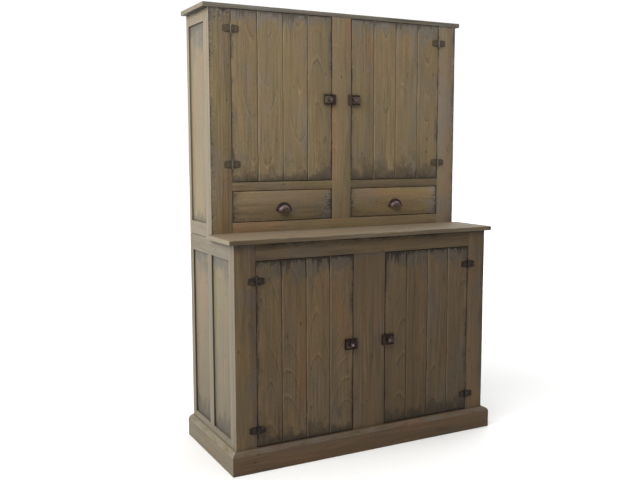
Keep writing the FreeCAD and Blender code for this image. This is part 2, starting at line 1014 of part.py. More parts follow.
def keeper(name, s, face, mid, z):
    """The keeper, on the centre stile. mid is the stile's edge, measured from the middle of the cupboard."""
    blank = box(
        name + "_blank",
        side((mid - S.keeper_w, mid), s),
        (face - S.latch_thk, face),
        (z - S.latch_tall / 2, z + S.latch_tall / 2),
    )
    r = S.bolt_room * 1.5
    tools = [
        box(
            name + "_pocket",
            side((mid - S.keeper_deep, mid + 1), s),
            (
                face - S.bolt_mid - S.bolt_thk / 2 - r,
                face - S.bolt_mid + S.bolt_thk / 2 + r,
            ),
            (z - S.bolt_tall / 2 - r, z + S.bolt_tall / 2 + r),
        )
    ]
    for i, dz in enumerate((-1, 1)):
        tools.append(
            hole(
                "%s_hole%d" % (name, i),
                at(mid - S.keeper_w / 2, s),
                face,
                z + (S.latch_tall / 2 - S.latch_rim / 2) * dz,
                S.latch_thk,
            )
        )
    return cut(name, blank, tools)


def keeper_screws(name, s, face, mid, z):
    return [
        screw(
            "%s_screw%d" % (name, i),
            at(mid - S.keeper_w / 2, s),
            face,
            z + (S.latch_tall / 2 - S.latch_rim / 2) * dz,
            S.latch_thk,
        )
        for i, dz in enumerate((-1, 1))
    ]


def bolt(name, s, face, edge, z):
    blank = box(
        name + "_blank",
        side((edge + S.bolt_in, edge + S.bolt_in + S.bolt_long), s),
        (face - S.bolt_mid - S.bolt_thk / 2, face - S.bolt_mid + S.bolt_thk / 2),
        (z - S.bolt_tall / 2, z + S.bolt_tall / 2),
    )
    window = box(
        name + "_window",
        side((edge + S.bolt_win_lo, edge + S.bolt_win_hi), s),
        (face - S.bolt_mid - S.bolt_thk, face - S.bolt_mid + S.bolt_thk),
        (z - S.bolt_win, z + S.bolt_win),
    )
    return cut(name, blank, [window])


# The knob's outline from its spindle's inner end outwards, as radius and distance.
KNOB = [
    (0, 0),
    (S.spindle_r, 0),
    (S.spindle_r, S.latch_thk - S.spindle_end + 0.3),
    (S.spindle_r * 1.5, S.latch_thk - S.spindle_end + 0.3),
    (S.spindle_r * 1.5, S.latch_thk - S.spindle_end + 1.6),
    (S.spindle_r * 1.1, S.latch_thk - S.spindle_end + 3),
    (S.spindle_r * 1.2, S.latch_thk - S.spindle_end + 4.6),
    (S.spindle_r * 2, S.latch_thk - S.spindle_end + 6),
    (S.spindle_r * 2.6, S.latch_thk - S.spindle_end + 8.2),
    (S.spindle_r * 2.75, S.latch_thk - S.spindle_end + 10.4),
    (S.spindle_r * 2.5, S.latch_thk - S.spindle_end + 12.6),
    (S.spindle_r * 1.7, S.latch_thk - S.spindle_end + 14),
    (0, S.latch_thk - S.spindle_end + 14.4),
]


def knob(name, s, face, edge, z):
    x = at(edge + S.knob_at, s)
    body = doc.addObject("PartDesign::Body", name + "_turned")
    sk = outline(body, name + "_outline", "XY_Plane", KNOB)
    rev = body.newObject("PartDesign::Revolution", name + "_revolution")
    rev.Profile = sk
    rev.ReferenceAxis = (sk, ["V_Axis"])
    rev.Angle = 360
    place(body, (x, face - S.spindle_end, z), ((0, 0, 1), 180))
    tab = box(
        name + "_tab",
        (x - S.tab_w / 2, x + S.tab_w / 2),
        (face - S.spindle_end - 1, face - S.tab_end),
        (z - S.tab_tall / 2, z + S.tab_tall / 2),
    )
    return fuse(name, [body, tab])


# ---------------------------------------------------------------- doors
DOORS = [
    # name, side, face, opening from the centre stile to the outer stile, bottom, top, hinge heights, latch height
    ("door_upper_left", -1, FACE_UP, CX, UX, S.door_sill + S.door_gap, S.crown_z - S.door_gap, (S.hinge_up_hi, S.hinge_up_lo), S.latch_up),
    ("door_upper_right", 1, FACE_UP, CX, UX, S.door_sill + S.door_gap, S.crown_z - S.door_gap, (S.hinge_up_hi, S.hinge_up_lo), S.latch_up),
    ("door_lower_left", -1, FACE_LO, MX, LX, S.plinth_top + S.door_lift, S.base_rail_z - S.door_gap, (S.hinge_lo_hi, S.hinge_lo_lo), S.latch_lo),
    ("door_lower_right", 1, FACE_LO, MX, LX, S.plinth_top + S.door_lift, S.base_rail_z - S.door_gap, (S.hinge_lo_hi, S.hinge_lo_lo), S.latch_lo),
]
frame_leaves, pins, keepers, frame_screws = [], [], [], []
for name, s, face, mid, jamb, z0, z1, hinges, lz in DOORS:
    edge, far = mid + S.door_gap, jamb - S.door_gap
    x0, x1 = side((edge, far), s)
    bw = (x1 - x0) / 4
    t0 = S.door_thk / 2 - S.tongue / 2
    t1 = S.door_thk / 2 + S.tongue / 2
    g = S.tongue + S.tongue_gap
    boards = []
    for i in range(4):
        pts = [(S.vee, 0), (bw - S.vee, 0), (bw, S.vee)]
        if i < 3:
            pts += [(bw, t0), (bw + S.tongue, t0), (bw + S.tongue, t1), (bw, t1)]
        pts += [(bw, S.door_thk), (0, S.door_thk)]
        if i > 0:
            pts += [(0, t1), (g, t1), (g, t0), (0, t0)]
        pts += [(0, S.vee)]
        boards.append(
            prism(
                "%s_board%d" % (name, i + 1),
                "XY_Plane",
                pts,
                z1 - z0,
                (x0 + bw * i, face, z0),
            )
        )
    node(name + "_boards", boards)
    node(
        name + "_battens",
        [
            box(
                "%s_batten_%s" % (name, tag),
                (x0 + S.batten_in, x1 - S.batten_in),
                (face + S.door_thk, face + S.door_thk + S.batten_thk),
                (zc - S.batten_w / 2, zc + S.batten_w / 2),
            )
            for tag, zc in (("low", z0 + S.batten_end), ("high", z1 - S.batten_end))
        ],
    )
    hx = at(jamb - S.door_gap / 2, s)
    leaves, screws = [], []
    for i, hz in enumerate(hinges):
        tag = "%s_hinge%d" % (name, i + 1)
        leaves.append(leaf(tag + "_door", hx, face, hz, -s, MID, S.pin_r + S.pin_room))
        screws += leaf_screws(tag + "_door", hx, face, hz, -s)
        frame_leaves.append(leaf(tag + "_frame", hx, face, hz, s, ENDS, S.pin_r))
        frame_screws += leaf_screws(tag + "_frame", hx, face, hz, s)
        pins.append(pin(tag + "_pin", hx, face, hz))
    node(name + "_hinge_leaves", leaves)
    node(name + "_latch_case", [latch(name + "_case", s, face, edge, lz)])
    screws += latch_screws(name + "_case", s, face, edge, lz)
    node(name + "_screws", screws)
    node(name + "_knob", [knob(name + "_turn", s, face, edge, lz)])
    node(name + "_bolt", [bolt(name + "_slider", s, face, edge, lz)])
    keepers.append(keeper(name + "_keeper", s, face, mid, lz))
    frame_screws += keeper_screws(name + "_keeper", s, face, mid, lz)
node("hinge_frame_leaves", frame_leaves)
node("hinge_pins", pins)
node("latch_keepers", keepers)
node("frame_screws", frame_screws)

# ---------------------------------------------------------------- drawers


def ellipsoid(name, x, y, z, rx, ry, rz):
    o = doc.addObject("Part::Ellipsoid", name)
    o.Angle1, o.Angle2, o.Angle3 = -90, 90, 360
    return bind(
        o,
        [
            ("Radius1", rz),
            ("Radius2", rx),
            ("Radius3", ry),
            ("Placement.Base.x", x),
            ("Placement.Base.y", y),
            ("Placement.Base.z", z),
        ],
    )


def common(name, a, b):
    o = doc.addObject("Part::Common", name)
    o.Base, o.Tool = a, b
    return o


for s, hand in ((-1, "left"), (1, "right")):
    name = "drawer_" + hand
    x0, x1 = side((CX + S.door_gap, UX - S.door_gap), s)
    zb = S.drawer_sill + S.run_gap
    y_front = (FACE_UP, FACE_UP + S.door_thk)
    y_box = (y_front[1], y_front[1] + S.drawer_long)
    z_base = (zb + S.drawer_lift, zb + S.drawer_lift + S.drawer_base)
    xs = [
        (x0 + S.run_gap, x0 + S.run_gap + S.drawer_side),
        (x1 - S.run_gap - S.drawer_side, x1 - S.run_gap),
    ]
    g = S.drawer_groove
    base_x = (xs[0][1] - g, xs[1][0] + g)
    front_blank = box(
        name + "_front_blank",
        (x0, x1),
        y_front,
        (S.drawer_sill + S.door_gap, S.drawer_head - S.door_gap),
    )
    node(
        name + "_front",
        [
            cut(
                name + "_front_board",
                front_blank,
                [box(name + "_front_groove", base_x, (y_front[1] - g, y_front[1]), z_base)],
            )
        ],
    )
    pieces = []
    for i, x in enumerate(xs):
        blank = box(
            "%s_side_blank%d" % (name, i), x, y_box, (zb, zb + S.drawer_tall)
        )
        groove = (x[1] - g, x[1]) if i == 0 else (x[0], x[0] + g)
        pieces.append(
            cut(
                "%s_side%d" % (name, i),
                blank,
                [box("%s_side_groove%d" % (name, i), groove, y_box, z_base)],
            )
        )
    pieces.append(
        box(
            name + "_back",
            (xs[0][1], xs[1][0]),
            (y_box[1] - S.drawer_side, y_box[1]),
            (z_base[1], zb + S.drawer_tall),
        )
    )
    pieces.append(box(name + "_base", base_x, (y_front[1] - g, y_box[1]), z_base))
    node(name + "_box", pieces)

    # cup pull: a quarter of a hollow egg on a half-round flange
    px, pz = (x0 + x1) / 2, S.pull_z
    egg = cut(
        name + "_cup_shell",
        ellipsoid(name + "_cup_out", px, FACE_UP, pz, S.cup_x, S.cup_y, S.cup_z),
        [
            ellipsoid(
                name + "_cup_in",
                px,
                FACE_UP,
                pz,
                S.cup_x - S.cup_wall,
                S.cup_y - S.cup_wall,
                S.cup_z - S.cup_wall,
            )
        ],
    )
    quarter = box(
        name + "_cup_quarter",
        (px - S.pull_r * 1.2, px + S.pull_r * 1.2),
        (FACE_UP - S.cup_y * 1.2, FACE_UP),
        (pz, pz + S.pull_r * 1.2),
    )
    cup = common(name + "_cup", egg, quarter)
    disc = rod(name + "_flange_disc", px, FACE_UP, pz, S.pull_r, S.pull_thk, "-y")
    half = box(
        name + "_flange_half",
        (px - S.pull_r * 1.1, px + S.pull_r * 1.1),
        (FACE_UP - S.pull_thk * 2, FACE_UP),
        (pz, pz + S.pull_r * 1.1),
    )
    ring = cut(
        name + "_flange_ring",
        common(name + "_flange_plate", disc, half),
        [rod(name + "_flange_open", px, FACE_UP + 1, pz, S.pull_hole, S.pull_thk + 2, "-y")],
    )
    whole = fuse(name + "_pull_whole", [ring, cup])
    spots = [(px - S.pull_screw_x, pz + S.pull_screw_z), (px + S.pull_screw_x, pz + S.pull_screw_z)]
    pull = cut(
        name + "_pull_drilled",
        whole,
        [
            hole("%s_pull_hole%d" % (name, i), x, FACE_UP, z, S.pull_thk)
            for i, (x, z) in enumerate(spots)
        ],
    )
    node(
        name + "_pull",
        [pull]
        + [
            screw("%s_pull_screw%d" % (name, i), x, FACE_UP, z, S.pull_thk)
            for i, (x, z) in enumerate(spots)
        ],
    )

# ---------------------------------------------------------------- check and write
doc.recompute()
bad = [
    "%s: %s" % (o.Name, o.State)
    for o in doc.Objects
    if "Invalid" in o.State or "Error" in o.State
]
for label, (obj, count) in nodes.items():
    shape = obj.Shape
    if shape.isNull() or not shape.isValid():
        bad.append("%s: bad shape" % label)
    elif len(shape.Solids) != count or min(q.Volume for q in shape.Solids) <= 0:
        bad.append("%s: %d solids, not %d" % (label, len(shape.Solids), count))
if len(nodes) > 60:
    bad.append("%d sub-parts" % len(nodes))
if bad:
    raise RuntimeError("; ".join(bad))
os.makedirs("parts", exist_ok=True)
for label, (obj, count) in nodes.items():
    obj.Shape.exportStep("parts/%s.step" % label)
print(len(nodes), "sub-parts,", sum(c for _, c in nodes.values()), "solids")
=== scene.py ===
import bpy, bmesh, math
from mathutils import Vector, Matrix
from mathutils import noise as perlin


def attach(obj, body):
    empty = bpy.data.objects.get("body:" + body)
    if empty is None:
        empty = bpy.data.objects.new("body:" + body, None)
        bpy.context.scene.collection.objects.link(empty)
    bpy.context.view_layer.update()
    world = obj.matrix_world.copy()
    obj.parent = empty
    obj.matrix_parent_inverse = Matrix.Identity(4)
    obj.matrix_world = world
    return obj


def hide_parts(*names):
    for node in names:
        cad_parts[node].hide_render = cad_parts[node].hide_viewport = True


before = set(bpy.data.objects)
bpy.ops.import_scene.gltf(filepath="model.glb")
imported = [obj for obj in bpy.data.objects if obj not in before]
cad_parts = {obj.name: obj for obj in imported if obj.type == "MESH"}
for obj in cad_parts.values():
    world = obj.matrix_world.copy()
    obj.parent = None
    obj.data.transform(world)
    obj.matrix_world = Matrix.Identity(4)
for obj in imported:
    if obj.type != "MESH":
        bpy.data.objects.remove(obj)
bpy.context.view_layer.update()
MM = 0.001

# ------------------------------------------------------------------ sizes, in millimetres, as in the CAD model
HALF, BACK, FLO, FUP = 660.0, 295.5, -268.5, -4.5
IN_X, IN_Y, TOP = 638.0, 285.5, 993.0
CX, UX, MX, LX = 51.5, 560.0, 84.0, 562.0
GAP = 2.5


# ------------------------------------------------------------------ node helper
class Nodes:
    """A material's node tree, built with short calls. A value is a number, a colour or an output socket."""

    def __init__(self, name):
        self.mat = bpy.data.materials.new(name)
        self.mat.use_nodes = True
        self.tree = self.mat.node_tree
        self.tree.nodes.clear()
        out = self.add("ShaderNodeOutputMaterial")
        self.bsdf = self.add("ShaderNodeBsdfPrincipled")
        self.tree.links.new(self.bsdf.outputs[0], out.inputs[0])

    def add(self, kind, **props):
        n = self.tree.nodes.new(kind)
        for k, v in props.items():
            setattr(n, k, v)
        return n

    def put(self, socket, value):
        if isinstance(value, bpy.types.NodeSocket):
            self.tree.links.new(value, socket)
        else:
            socket.default_value = value

    def math(self, op, a, b=None, c=None, clamp=False):
        n = self.add("ShaderNodeMath", operation=op, use_clamp=clamp)
        for s, v in zip(n.inputs, (a, b, c)):
            if v is not None:
                self.put(s, v)
        return n.outputs[0]

    def mul(self, a, b):
        return self.math("MULTIPLY", a, b)

    def plus(self, a, b):
        return self.math("ADD", a, b)

    def minus(self, a, b):
        return self.math("SUBTRACT", a, b)

    def vec(self, x, y, z):
        n = self.add("ShaderNodeCombineXYZ")
        for s, v in zip(n.inputs, (x, y, z)):
            self.put(s, v)
        return n.outputs[0]

    def split(self, v):
        n = self.add("ShaderNodeSeparateXYZ")
        self.put(n.inputs[0], v)
        return n.outputs[:3]

    def attr(self, name):
        return self.add("ShaderNodeAttribute", attribute_name=name).outputs["Vector"]

    def noise(self, v, scale=1.0, detail=2.0, rough=0.5, warp=0.0):
        n = self.add("ShaderNodeTexNoise")
        self.put(n.inputs["Vector"], v)
        self.put(n.inputs["Scale"], scale)
        self.put(n.inputs["Detail"], detail)
        self.put(n.inputs["Roughness"], rough)
        self.put(n.inputs["Distortion"], warp)
        return n.outputs["Fac"]

    def cells(self, v, scale=1.0):
        n = self.add("ShaderNodeTexVoronoi")
        self.put(n.inputs["Vector"], v)
        self.put(n.inputs["Scale"], scale)
        return n.outputs["Distance"], n.outputs["Color"]

    def white(self, w):
        n = self.add("ShaderNodeTexWhiteNoise", noise_dimensions="1D")
        self.put(n.inputs["W"], w)
        return self.split(n.outputs["Color"])

    def smooth(self, x, a, b, lo=0.0, hi=1.0):
        n = self.add("ShaderNodeMapRange", interpolation_type="SMOOTHSTEP")
        for s, v in zip(n.inputs, (x, a, b, lo, hi)):
            self.put(s, v)
        return n.outputs[0]

    def ramp(self, x, stops):
        n = self.add("ShaderNodeValToRGB")
        self.put(n.inputs[0], x)
        r = n.color_ramp
        while len(r.elements) < len(stops):
            r.elements.new(0.5)
        for e, (p, c) in zip(r.elements, stops):
            e.position = p
            e.color = (c, c, c, 1) if isinstance(c, float) else (*c, 1)
        return n.outputs[0]

    def mix(self, f, a, b, blend="MIX"):
        n = self.add("ShaderNodeMix", data_type="RGBA", blend_type=blend)
        self.put(n.inputs[0], f)
        for s, v in ((n.inputs[6], a), (n.inputs[7], b)):
            self.put(s, (*v, 1) if isinstance(v, tuple) and len(v) == 3 else v)
        return n.outputs[2]

    def times(self, colour, f):
        """A colour made lighter or darker by a number."""
        n = self.add("ShaderNodeVectorMath", operation="SCALE")
        self.put(n.inputs[0], colour)
        self.put(n.inputs["Scale"], f)
        return n.outputs[0]

    def bump(self, height, strength, distance):
        n = self.add("ShaderNodeBump")
        n.inputs["Strength"].default_value = strength
        n.inputs["Distance"].default_value = distance
        self.put(n.inputs["Height"], height)
        self.put(self.bsdf.inputs["Normal"], n.outputs[0])


def wood(name, a, b, warm, olive, grey, wax, rim, line=0.40, ring=0.015, rough=0.6, spec=0.35, greys=0.6, waxed=0.95, threads=1.0, tint=0.42, left_dark=1.0, fog=(0.5, 0.8), streaks=1.0, ends=(1.0, 1.0), specks=0.35, tail=1.0, seam=1.0, smear=(0.60, 0.585, 0.70), chips=1.0, plain=0.0, flecks=0.35, both_ways=False, foot=(1.0, 0.94, 0.86)):
    """Waxed and distressed pine. Attributes of the mesh say where a point lies in its board, so each board has grain of its own."""
    n = Nodes(name)
    u, t, v = n.split(n.attr("grain"))
    hw, length, seed = n.split(n.attr("board"))
    wlo, whi, wed = n.split(n.attr("wax"))
    rimf, endf, gap_shade = n.split(n.attr("facet"))
    tone, greyer, vees = n.split(n.attr("tone"))
    if plain:
        wlo, whi, wed, greyer = (n.mul(x, 0.0) for x in (wlo, whi, wed, greyer))
        tone = n.plus(n.mul(tone, 0.0), plain)
    vleft, vright = n.math("MODULO", vees, 2.0), n.math("GREATER_THAN", vees, 1.5)
    fromleft, fromright = n.plus(hw, u), n.minus(hw, u)
    r1, r2, r3 = n.white(seed)
    q1, q2, q3 = n.white(n.plus(seed, 31.7))
    so = n.mul(seed, 7.31)

    # growth rings of a leaning, wandering trunk, which leave arches on a flat-sawn face
    w1 = n.noise(n.vec(n.mul(u, 2.0), so, n.mul(v, 1.6)), 1.0, 2.0)
    w2 = n.noise(n.vec(so, n.mul(u, 1.5), n.mul(v, 2.3)), 1.0, 2.0)
    w3 = n.noise(n.vec(n.mul(u, 24), so, n.mul(v, 5)), 1.0, 3.0)
    cx = n.plus(n.mul(n.minus(r1, 0.5), 0.10), n.mul(n.minus(w1, 0.5), 0.06))
    tilt = n.mul(n.plus(0.09, n.mul(r3, 0.15)), v)
    if both_ways:
        tilt = n.mul(tilt, n.minus(n.mul(n.math("GREATER_THAN", q2, 0.5), 2.0), 1.0))
    cy = n.plus(n.plus(n.plus(1.0, r2), tilt), n.mul(n.minus(w2, 0.5), 0.045))
    dx = n.minus(u, cx)
    bow = n.mul(n.mul(dx, dx), n.plus(5.5, n.mul(r2, 6.0)))
    d = n.plus(n.plus(n.plus(cy, t), bow), n.mul(n.minus(w3, 0.5), 0.011))
    saw = n.math("FRACT", n.math("DIVIDE", d, ring))
    shown = n.smooth(n.noise(n.vec(n.mul(u, 11), so, n.mul(v, 6.5)), 1.0, 3.0), 0.44, 0.59, 0.05, 1.0)
    late = n.mul(n.ramp(saw, [(0.0, 0.0), (0.74, 0.04), (0.87, 0.22), (0.925, 1.0), (0.965, 0.35), (1.0, 0.0)]), shown)
    pale = n.mul(n.ramp(saw, [(0.0, 0.5), (0.04, 1.0), (0.12, 0.0), (0.96, 0.0), (1.0, 0.5)]), shown)

    fibre = n.noise(n.vec(n.mul(u, 420), n.mul(t, 420), n.plus(n.mul(v, 8), so)), 1.0, 4.0, 0.6)
    streak = n.noise(n.vec(n.mul(u, 75), n.mul(t, 75), n.plus(n.mul(v, 3.1), so)), 1.0, 3.0, 0.55)
    band = n.noise(n.vec(n.mul(u, 22), so, n.mul(v, 1.1)), 1.0, 2.0)
    warmth = n.noise(n.vec(so, n.mul(u, 13), n.mul(v, 2.4)), 1.0, 3.0)
    green = n.noise(n.vec(n.mul(u, 12), n.plus(so, 6.0), n.mul(v, 2.0)), 1.0, 3.0)
    cloud = n.noise(n.vec(n.mul(u, 7), n.plus(so, 4.0), n.mul(v, 3.4)), 1.0, 3.0, 0.6)

    col = n.mix(n.smooth(band, 0.34, 0.66), a, b)
    col = n.mix(n.mul(n.smooth(green, 0.48, 0.68), tint), col, olive)
    col = n.mix(n.mul(n.smooth(warmth, 0.50, 0.70), tint), col, warm)
    col = n.mix(n.math("MINIMUM", n.plus(n.mul(n.smooth(cloud, 0.48, 0.74), greys), greyer), 1.0), col, grey)
    col = n.times(col, n.plus(n.minus(1.0, n.mul(late, line)), n.mul(pale, line * 0.75)))
    fine = n.noise(n.vec(n.mul(u, 150), n.mul(t, 150), n.plus(n.mul(v, 5.2), so)), 1.0, 2.0, 0.55)
    drawn = n.smooth(n.noise(n.vec(n.mul(u, 9), n.plus(so, 14.0), n.mul(v, 2.6)), 1.0, 2.0), 0.36, 0.66, 0.28 * streaks, 1.55 * streaks)
    col = n.times(col, n.plus(1.0, n.mul(drawn, n.minus(streak, 0.5))))
    col = n.times(col, n.plus(1.0, n.mul(n.mul(drawn, 0.7), n.minus(fine, 0.5))))
    col = n.times(col, n.plus(0.64, n.mul(fibre, 0.72)))
    col = n.times(col, n.plus(0.94, n.mul(q1, 0.12)))
    # thin dark threads along the fibres, in groups
    thread = n.noise(n.vec(n.mul(u, 210), n.mul(t, 210), n.plus(n.mul(v, 3.2), so)), 1.0, 2.0)
    group = n.noise(n.vec(n.mul(u, 13), n.plus(so, 2.0), n.mul(v, 4.2)), 1.0, 2.0)
    thread = n.mul(n.smooth(thread, 0.60, 0.70), n.smooth(group, 0.42, 0.62))
    col = n.mix(n.mul(thread, 0.5 * threads), col, wax)

    # short dark pores, worm holes and small dents
    pore = n.smooth(n.noise(n.vec(n.mul(u, 300), n.mul(t, 300), n.plus(n.mul(v, 24), so)), 1.0, 2.0), 0.64, 0.74)
    far, cell = n.cells(n.vec(n.mul(u, 30), n.mul(t, 30), n.plus(n.mul(v, 13), so)))
    pick = n.smooth(n.split(cell)[0], 0.74, 0.80)
    hole = n.mul(n.smooth(far, 0.05, 0.16, 1.0, 0.0), pick)
    dash = n.noise(n.vec(n.mul(u, 170), n.mul(t, 170), n.plus(n.mul(v, 95), so)), 1.0, 2.0, 0.6)
    col = n.times(col, n.plus(1.0, n.mul(n.minus(dash, 0.5), flecks)))
    col = n.mix(n.mul(pore, 0.32), col, wax)
    col = n.mix(n.mul(hole, 0.6), col, wax)

    # a few knots with a dark rim
    kfar, kcell = n.cells(n.vec(n.mul(u, 9), so, n.mul(v, 2.6)))
    kpick = n.smooth(n.split(kcell)[1], 0.80, 0.83)
    knot = n.mul(n.smooth(kfar, 0.02, 0.16, 1.0, 0.0), kpick)
    col = n.mix(n.mul(knot, 0.75), col, wax)

    # dark wax caught at the boards' ends and along door edges: a smoky shade, and spikes drawn out along the fibres
    spike = n.noise(n.vec(n.mul(u, 80), so, n.mul(v, 3.5)), 1.0, 3.0, 0.6)
    patch = n.noise(n.vec(n.mul(u, 17), n.plus(so, 9.0), n.mul(v, 3.0)), 1.0, 3.0)
    haze = n.noise(n.vec(n.mul(u, 19), n.plus(so, 19.0), n.mul(v, 12.0)), 1.0, 3.0, 0.6)
    spot = n.smooth(patch, 0.42, 0.62)
    crumb = n.noise(n.vec(n.mul(u, 60), so, n.mul(v, 60)), 1.0, 3.0, 0.6)
    reach = n.plus(n.plus(0.007, n.mul(n.smooth(crumb, 0.35, 0.65), 0.022)), n.mul(n.mul(n.smooth(spike, 0.42, 0.74), spot), 0.13))
    close = n.math("MAXIMUM", n.mul(vleft, n.smooth(fromleft, 0.0, 0.010, 1.0, 0.0)), n.mul(vright, n.smooth(fromright, 0.0, 0.010, 1.0, 0.0)))
    reach = n.plus(reach, n.mul(n.mul(close, spot), 0.16))
    shade = n.plus(0.045, n.mul(n.smooth(haze, 0.35, 0.65), 0.185))
    caught, hazes = [], []
    for amount, far_end in ((wlo, v), (whi, n.minus(length, v))):
        on = n.math("MINIMUM", n.mul(amount, 2.0), 1.0)
        caught.append(n.mul(n.smooth(far_end, 0.0, n.plus(n.mul(reach, amount), 0.0005), 1.0, 0.0), on))
        hazes.append(n.mul(n.smooth(far_end, 0.0, n.plus(n.mul(shade, amount), 0.0005), 1.0, 0.0), on))
    low, high = n.mul(caught[0], ends[0]), n.mul(caught[1], ends[1])
    mist = n.math("MAXIMUM", hazes[0], hazes[1])
    veil = n.plus(0.45, n.mul(streak, 0.7))
    col = n.mix(n.mul(hazes[0], veil), col, tuple(c * fog[0] * q for c, q in zip(grey, foot)))
    col = n.mix(n.mul(hazes[1], veil), col, tuple(c * fog[1] * q for c, q in zip(grey, (0.92, 0.99, 1.12))))
    col = n.mix(n.mul(n.mul(hazes[1], n.smooth(fine, 0.54, 0.70)), 0.40), col, tuple(c * 1.45 for c in grey))
    ragged = n.noise(n.vec(n.mul(u, 55), so, n.mul(v, 13)), 1.0, 4.0, 0.7)
    blot = n.noise(n.vec(so, n.mul(u, 4), n.mul(v, 6.0)), 1.0, 3.0)
    stain = n.mul(n.smooth(n.noise(n.vec(n.mul(u, 19), n.plus(so, 3.0), n.mul(v, 9.0)), 1.0, 3.0, 0.6), 0.66, 0.78), 0.45)
    ereach = n.mul(n.math("ABSOLUTE", wed), n.plus(0.005, n.mul(n.mul(n.smooth(ragged, 0.42, 0.72), n.smooth(blot, 0.38, 0.60)), 0.042)))
    fromedge = n.minus(hw, n.mul(u, n.math("SIGN", wed)))
    edge = n.mul(n.smooth(fromedge, 0.0, n.plus(ereach, 0.0004), 1.0, 0.0), n.math("MINIMUM", n.mul(n.math("ABSOLUTE", wed), 3.0), 1.0))
    smudge = n.mul(n.smooth(fromedge, 0.002, n.plus(0.012, n.mul(n.smooth(ragged, 0.3, 0.7), 0.034)), 0.78, 0.0), n.mul(n.smooth(blot, 0.36, 0.60), n.math("MINIMUM", n.mul(n.math("ABSOLUTE", wed), 1.5), 1.0)))
    col = n.mix(smudge, col, tuple(c * q for c, q in zip(grey, smear)))
    edge = n.mul(edge, 0.85)
    dark = n.math("MAXIMUM", n.math("MAXIMUM", low, high), n.math("MAXIMUM", edge, n.mul(stain, threads)))
    # short black dashes where the arris beside a gap is chipped
    nib = n.noise(n.vec(n.mul(u, 90), n.plus(so, 23.0), n.mul(v, 66)), 1.0, 2.0, 0.6)
    nib = n.mul(n.smooth(nib, 0.52, 0.60), n.smooth(fromedge, 0.003, 0.010, 1.0, 0.0))
    nib = n.mul(n.mul(nib, n.smooth(blot, 0.38, 0.54)), n.math("MINIMUM", n.mul(n.math("ABSOLUTE", wed), 2.0), 0.9))
    dark = n.math("MAXIMUM", dark, nib)
    along = n.noise(n.vec(so, n.mul(u, 30), n.mul(v, 7.0)), 1.0, 3.0)
    grit = n.noise(n.vec(n.mul(u, 140), n.plus(so, 5.0), n.mul(v, 95)), 1.0, 2.0, 0.6)
    zone = n.mul(n.smooth(fromedge, 0.0, 0.040, 1.0, 0.0), n.math("MINIMUM", n.mul(n.math("ABSOLUTE", wed), 1.4), 1.0))
    zone = n.mul(n.math("MAXIMUM", zone, hazes[1]), n.smooth(cloud, 0.36, 0.56))
    col = n.mix(n.mul(n.mul(zone, n.smooth(grit, 0.56, 0.66)), specks), col, wax)
    col = n.mix(n.mul(n.mul(zone, n.smooth(grit, 0.34, 0.43, 1.0, 0.0)), specks * 0.6), col, rim)
    groove = n.mul(n.mul(vright, n.smooth(fromright, 0.0, 0.0075, 0.55, 0.0)), n.smooth(along, 0.36, 0.62))
    groove = n.math("MAXIMUM", groove, n.mul(n.mul(vleft, n.smooth(fromleft, 0.0, 0.004, 0.5, 0.0)), n.smooth(along, 0.46, 0.66)))
    glint = n.mul(n.mul(vleft, n.mul(n.smooth(fromleft, 0.0020, 0.0040), n.smooth(fromleft, 0.0045, 0.0075, 1.0, 0.0))), n.smooth(along, 0.40, 0.58, 0.55, 0.0))
    col = n.mix(glint, col, rim)
    dark = n.math("MAXIMUM", dark, n.mul(groove, seam))
    dark = n.mul(dark, n.plus(0.55, n.mul(fibre, 0.8)))
    dark = n.math("MINIMUM", n.mul(dark, waxed), 0.95)
    col = n.mix(dark, col, wax)

    # end grain is darker; faces in gaps get painted shade in the dark wax colour; worn corners are paler, partly wear
    # and partly a painted highlight
    col = n.times(col, n.minus(1.0, n.mul(endf, 0.30)))
    col = n.mix(n.math("MINIMUM", n.mul(gap_shade, 0.95), 0.97), col, wax)
    rub = n.noise(n.vec(n.mul(u, 45), n.mul(t, 45), n.plus(n.mul(v, 11), so)), 1.0, 3.0, 0.6)
    up = n.mul(n.math("MAXIMUM", rimf, 0.0), n.smooth(rub, 0.50, 0.64))
    chip = n.mul(n.math("MAXIMUM", rimf, 0.0), n.smooth(rub, 0.34, 0.44, 1.0, 0.0))
    down = n.mul(n.math("MAXIMUM", n.mul(rimf, -1.0), 0.0), n.smooth(rub, 0.36, 0.64, 0.25, 1.0))
    col = n.mix(n.mul(up, 0.5), col, rim)
    col = n.mix(n.math("MINIMUM", n.mul(chip, 0.75 * chips), 0.9), col, wax)
    depth = n.noise(n.vec(so, 0.0, n.mul(v, 5.0)), 1.0, 3.0)
    joint = n.math("MAXIMUM", n.smooth(depth, 0.38, 0.68, 0.18, 1.0), n.mul(mist, 1.2))
    col = n.mix(n.mul(n.mul(down, 0.9 * seam), joint), col, wax)
    # strips marked above 1, beside V-joints, on the left doors' hinge edges and on the plinth's round, go paler still:
    # wear and a painted highlight
    worn_and_lit = n.math("MAXIMUM", n.minus(rimf, 1.0), 0.0)
    col = n.mix(n.math("MINIMUM", n.mul(worn_and_lit, n.smooth(rub, 0.36, 0.64, 0.45, 1.45)), 1.0), col, rim)
    if left_dark < 1.0:
        col = n.times(col, n.smooth(n.math("DIVIDE", v, length), 0.02, 0.55, left_dark, 1.0))
    if tail < 1.0:
        col = n.times(col, n.smooth(n.minus(length, v), 0.004, 0.022, tail, 1.0))

    col = n.times(col, tone)

    p = n.bsdf.inputs
    n.put(p["Base Color"], col)
    n.put(p["Roughness"], n.plus(rough - 0.12, n.plus(n.mul(fibre, 0.26), n.mul(dark, -0.08))))
    p["Specular IOR Level"].default_value = spec
    relief = n.plus(n.mul(fibre, 0.8), n.mul(late, 0.5))
    relief = n.minus(relief, n.plus(n.mul(hole, 2.2), n.plus(n.mul(pore, 0.5), n.mul(knot, -0.6))))
    relief = n.plus(relief, n.mul(cloud, 0.9))
    n.bump(relief, 0.45, 0.0007)
    return n.mat


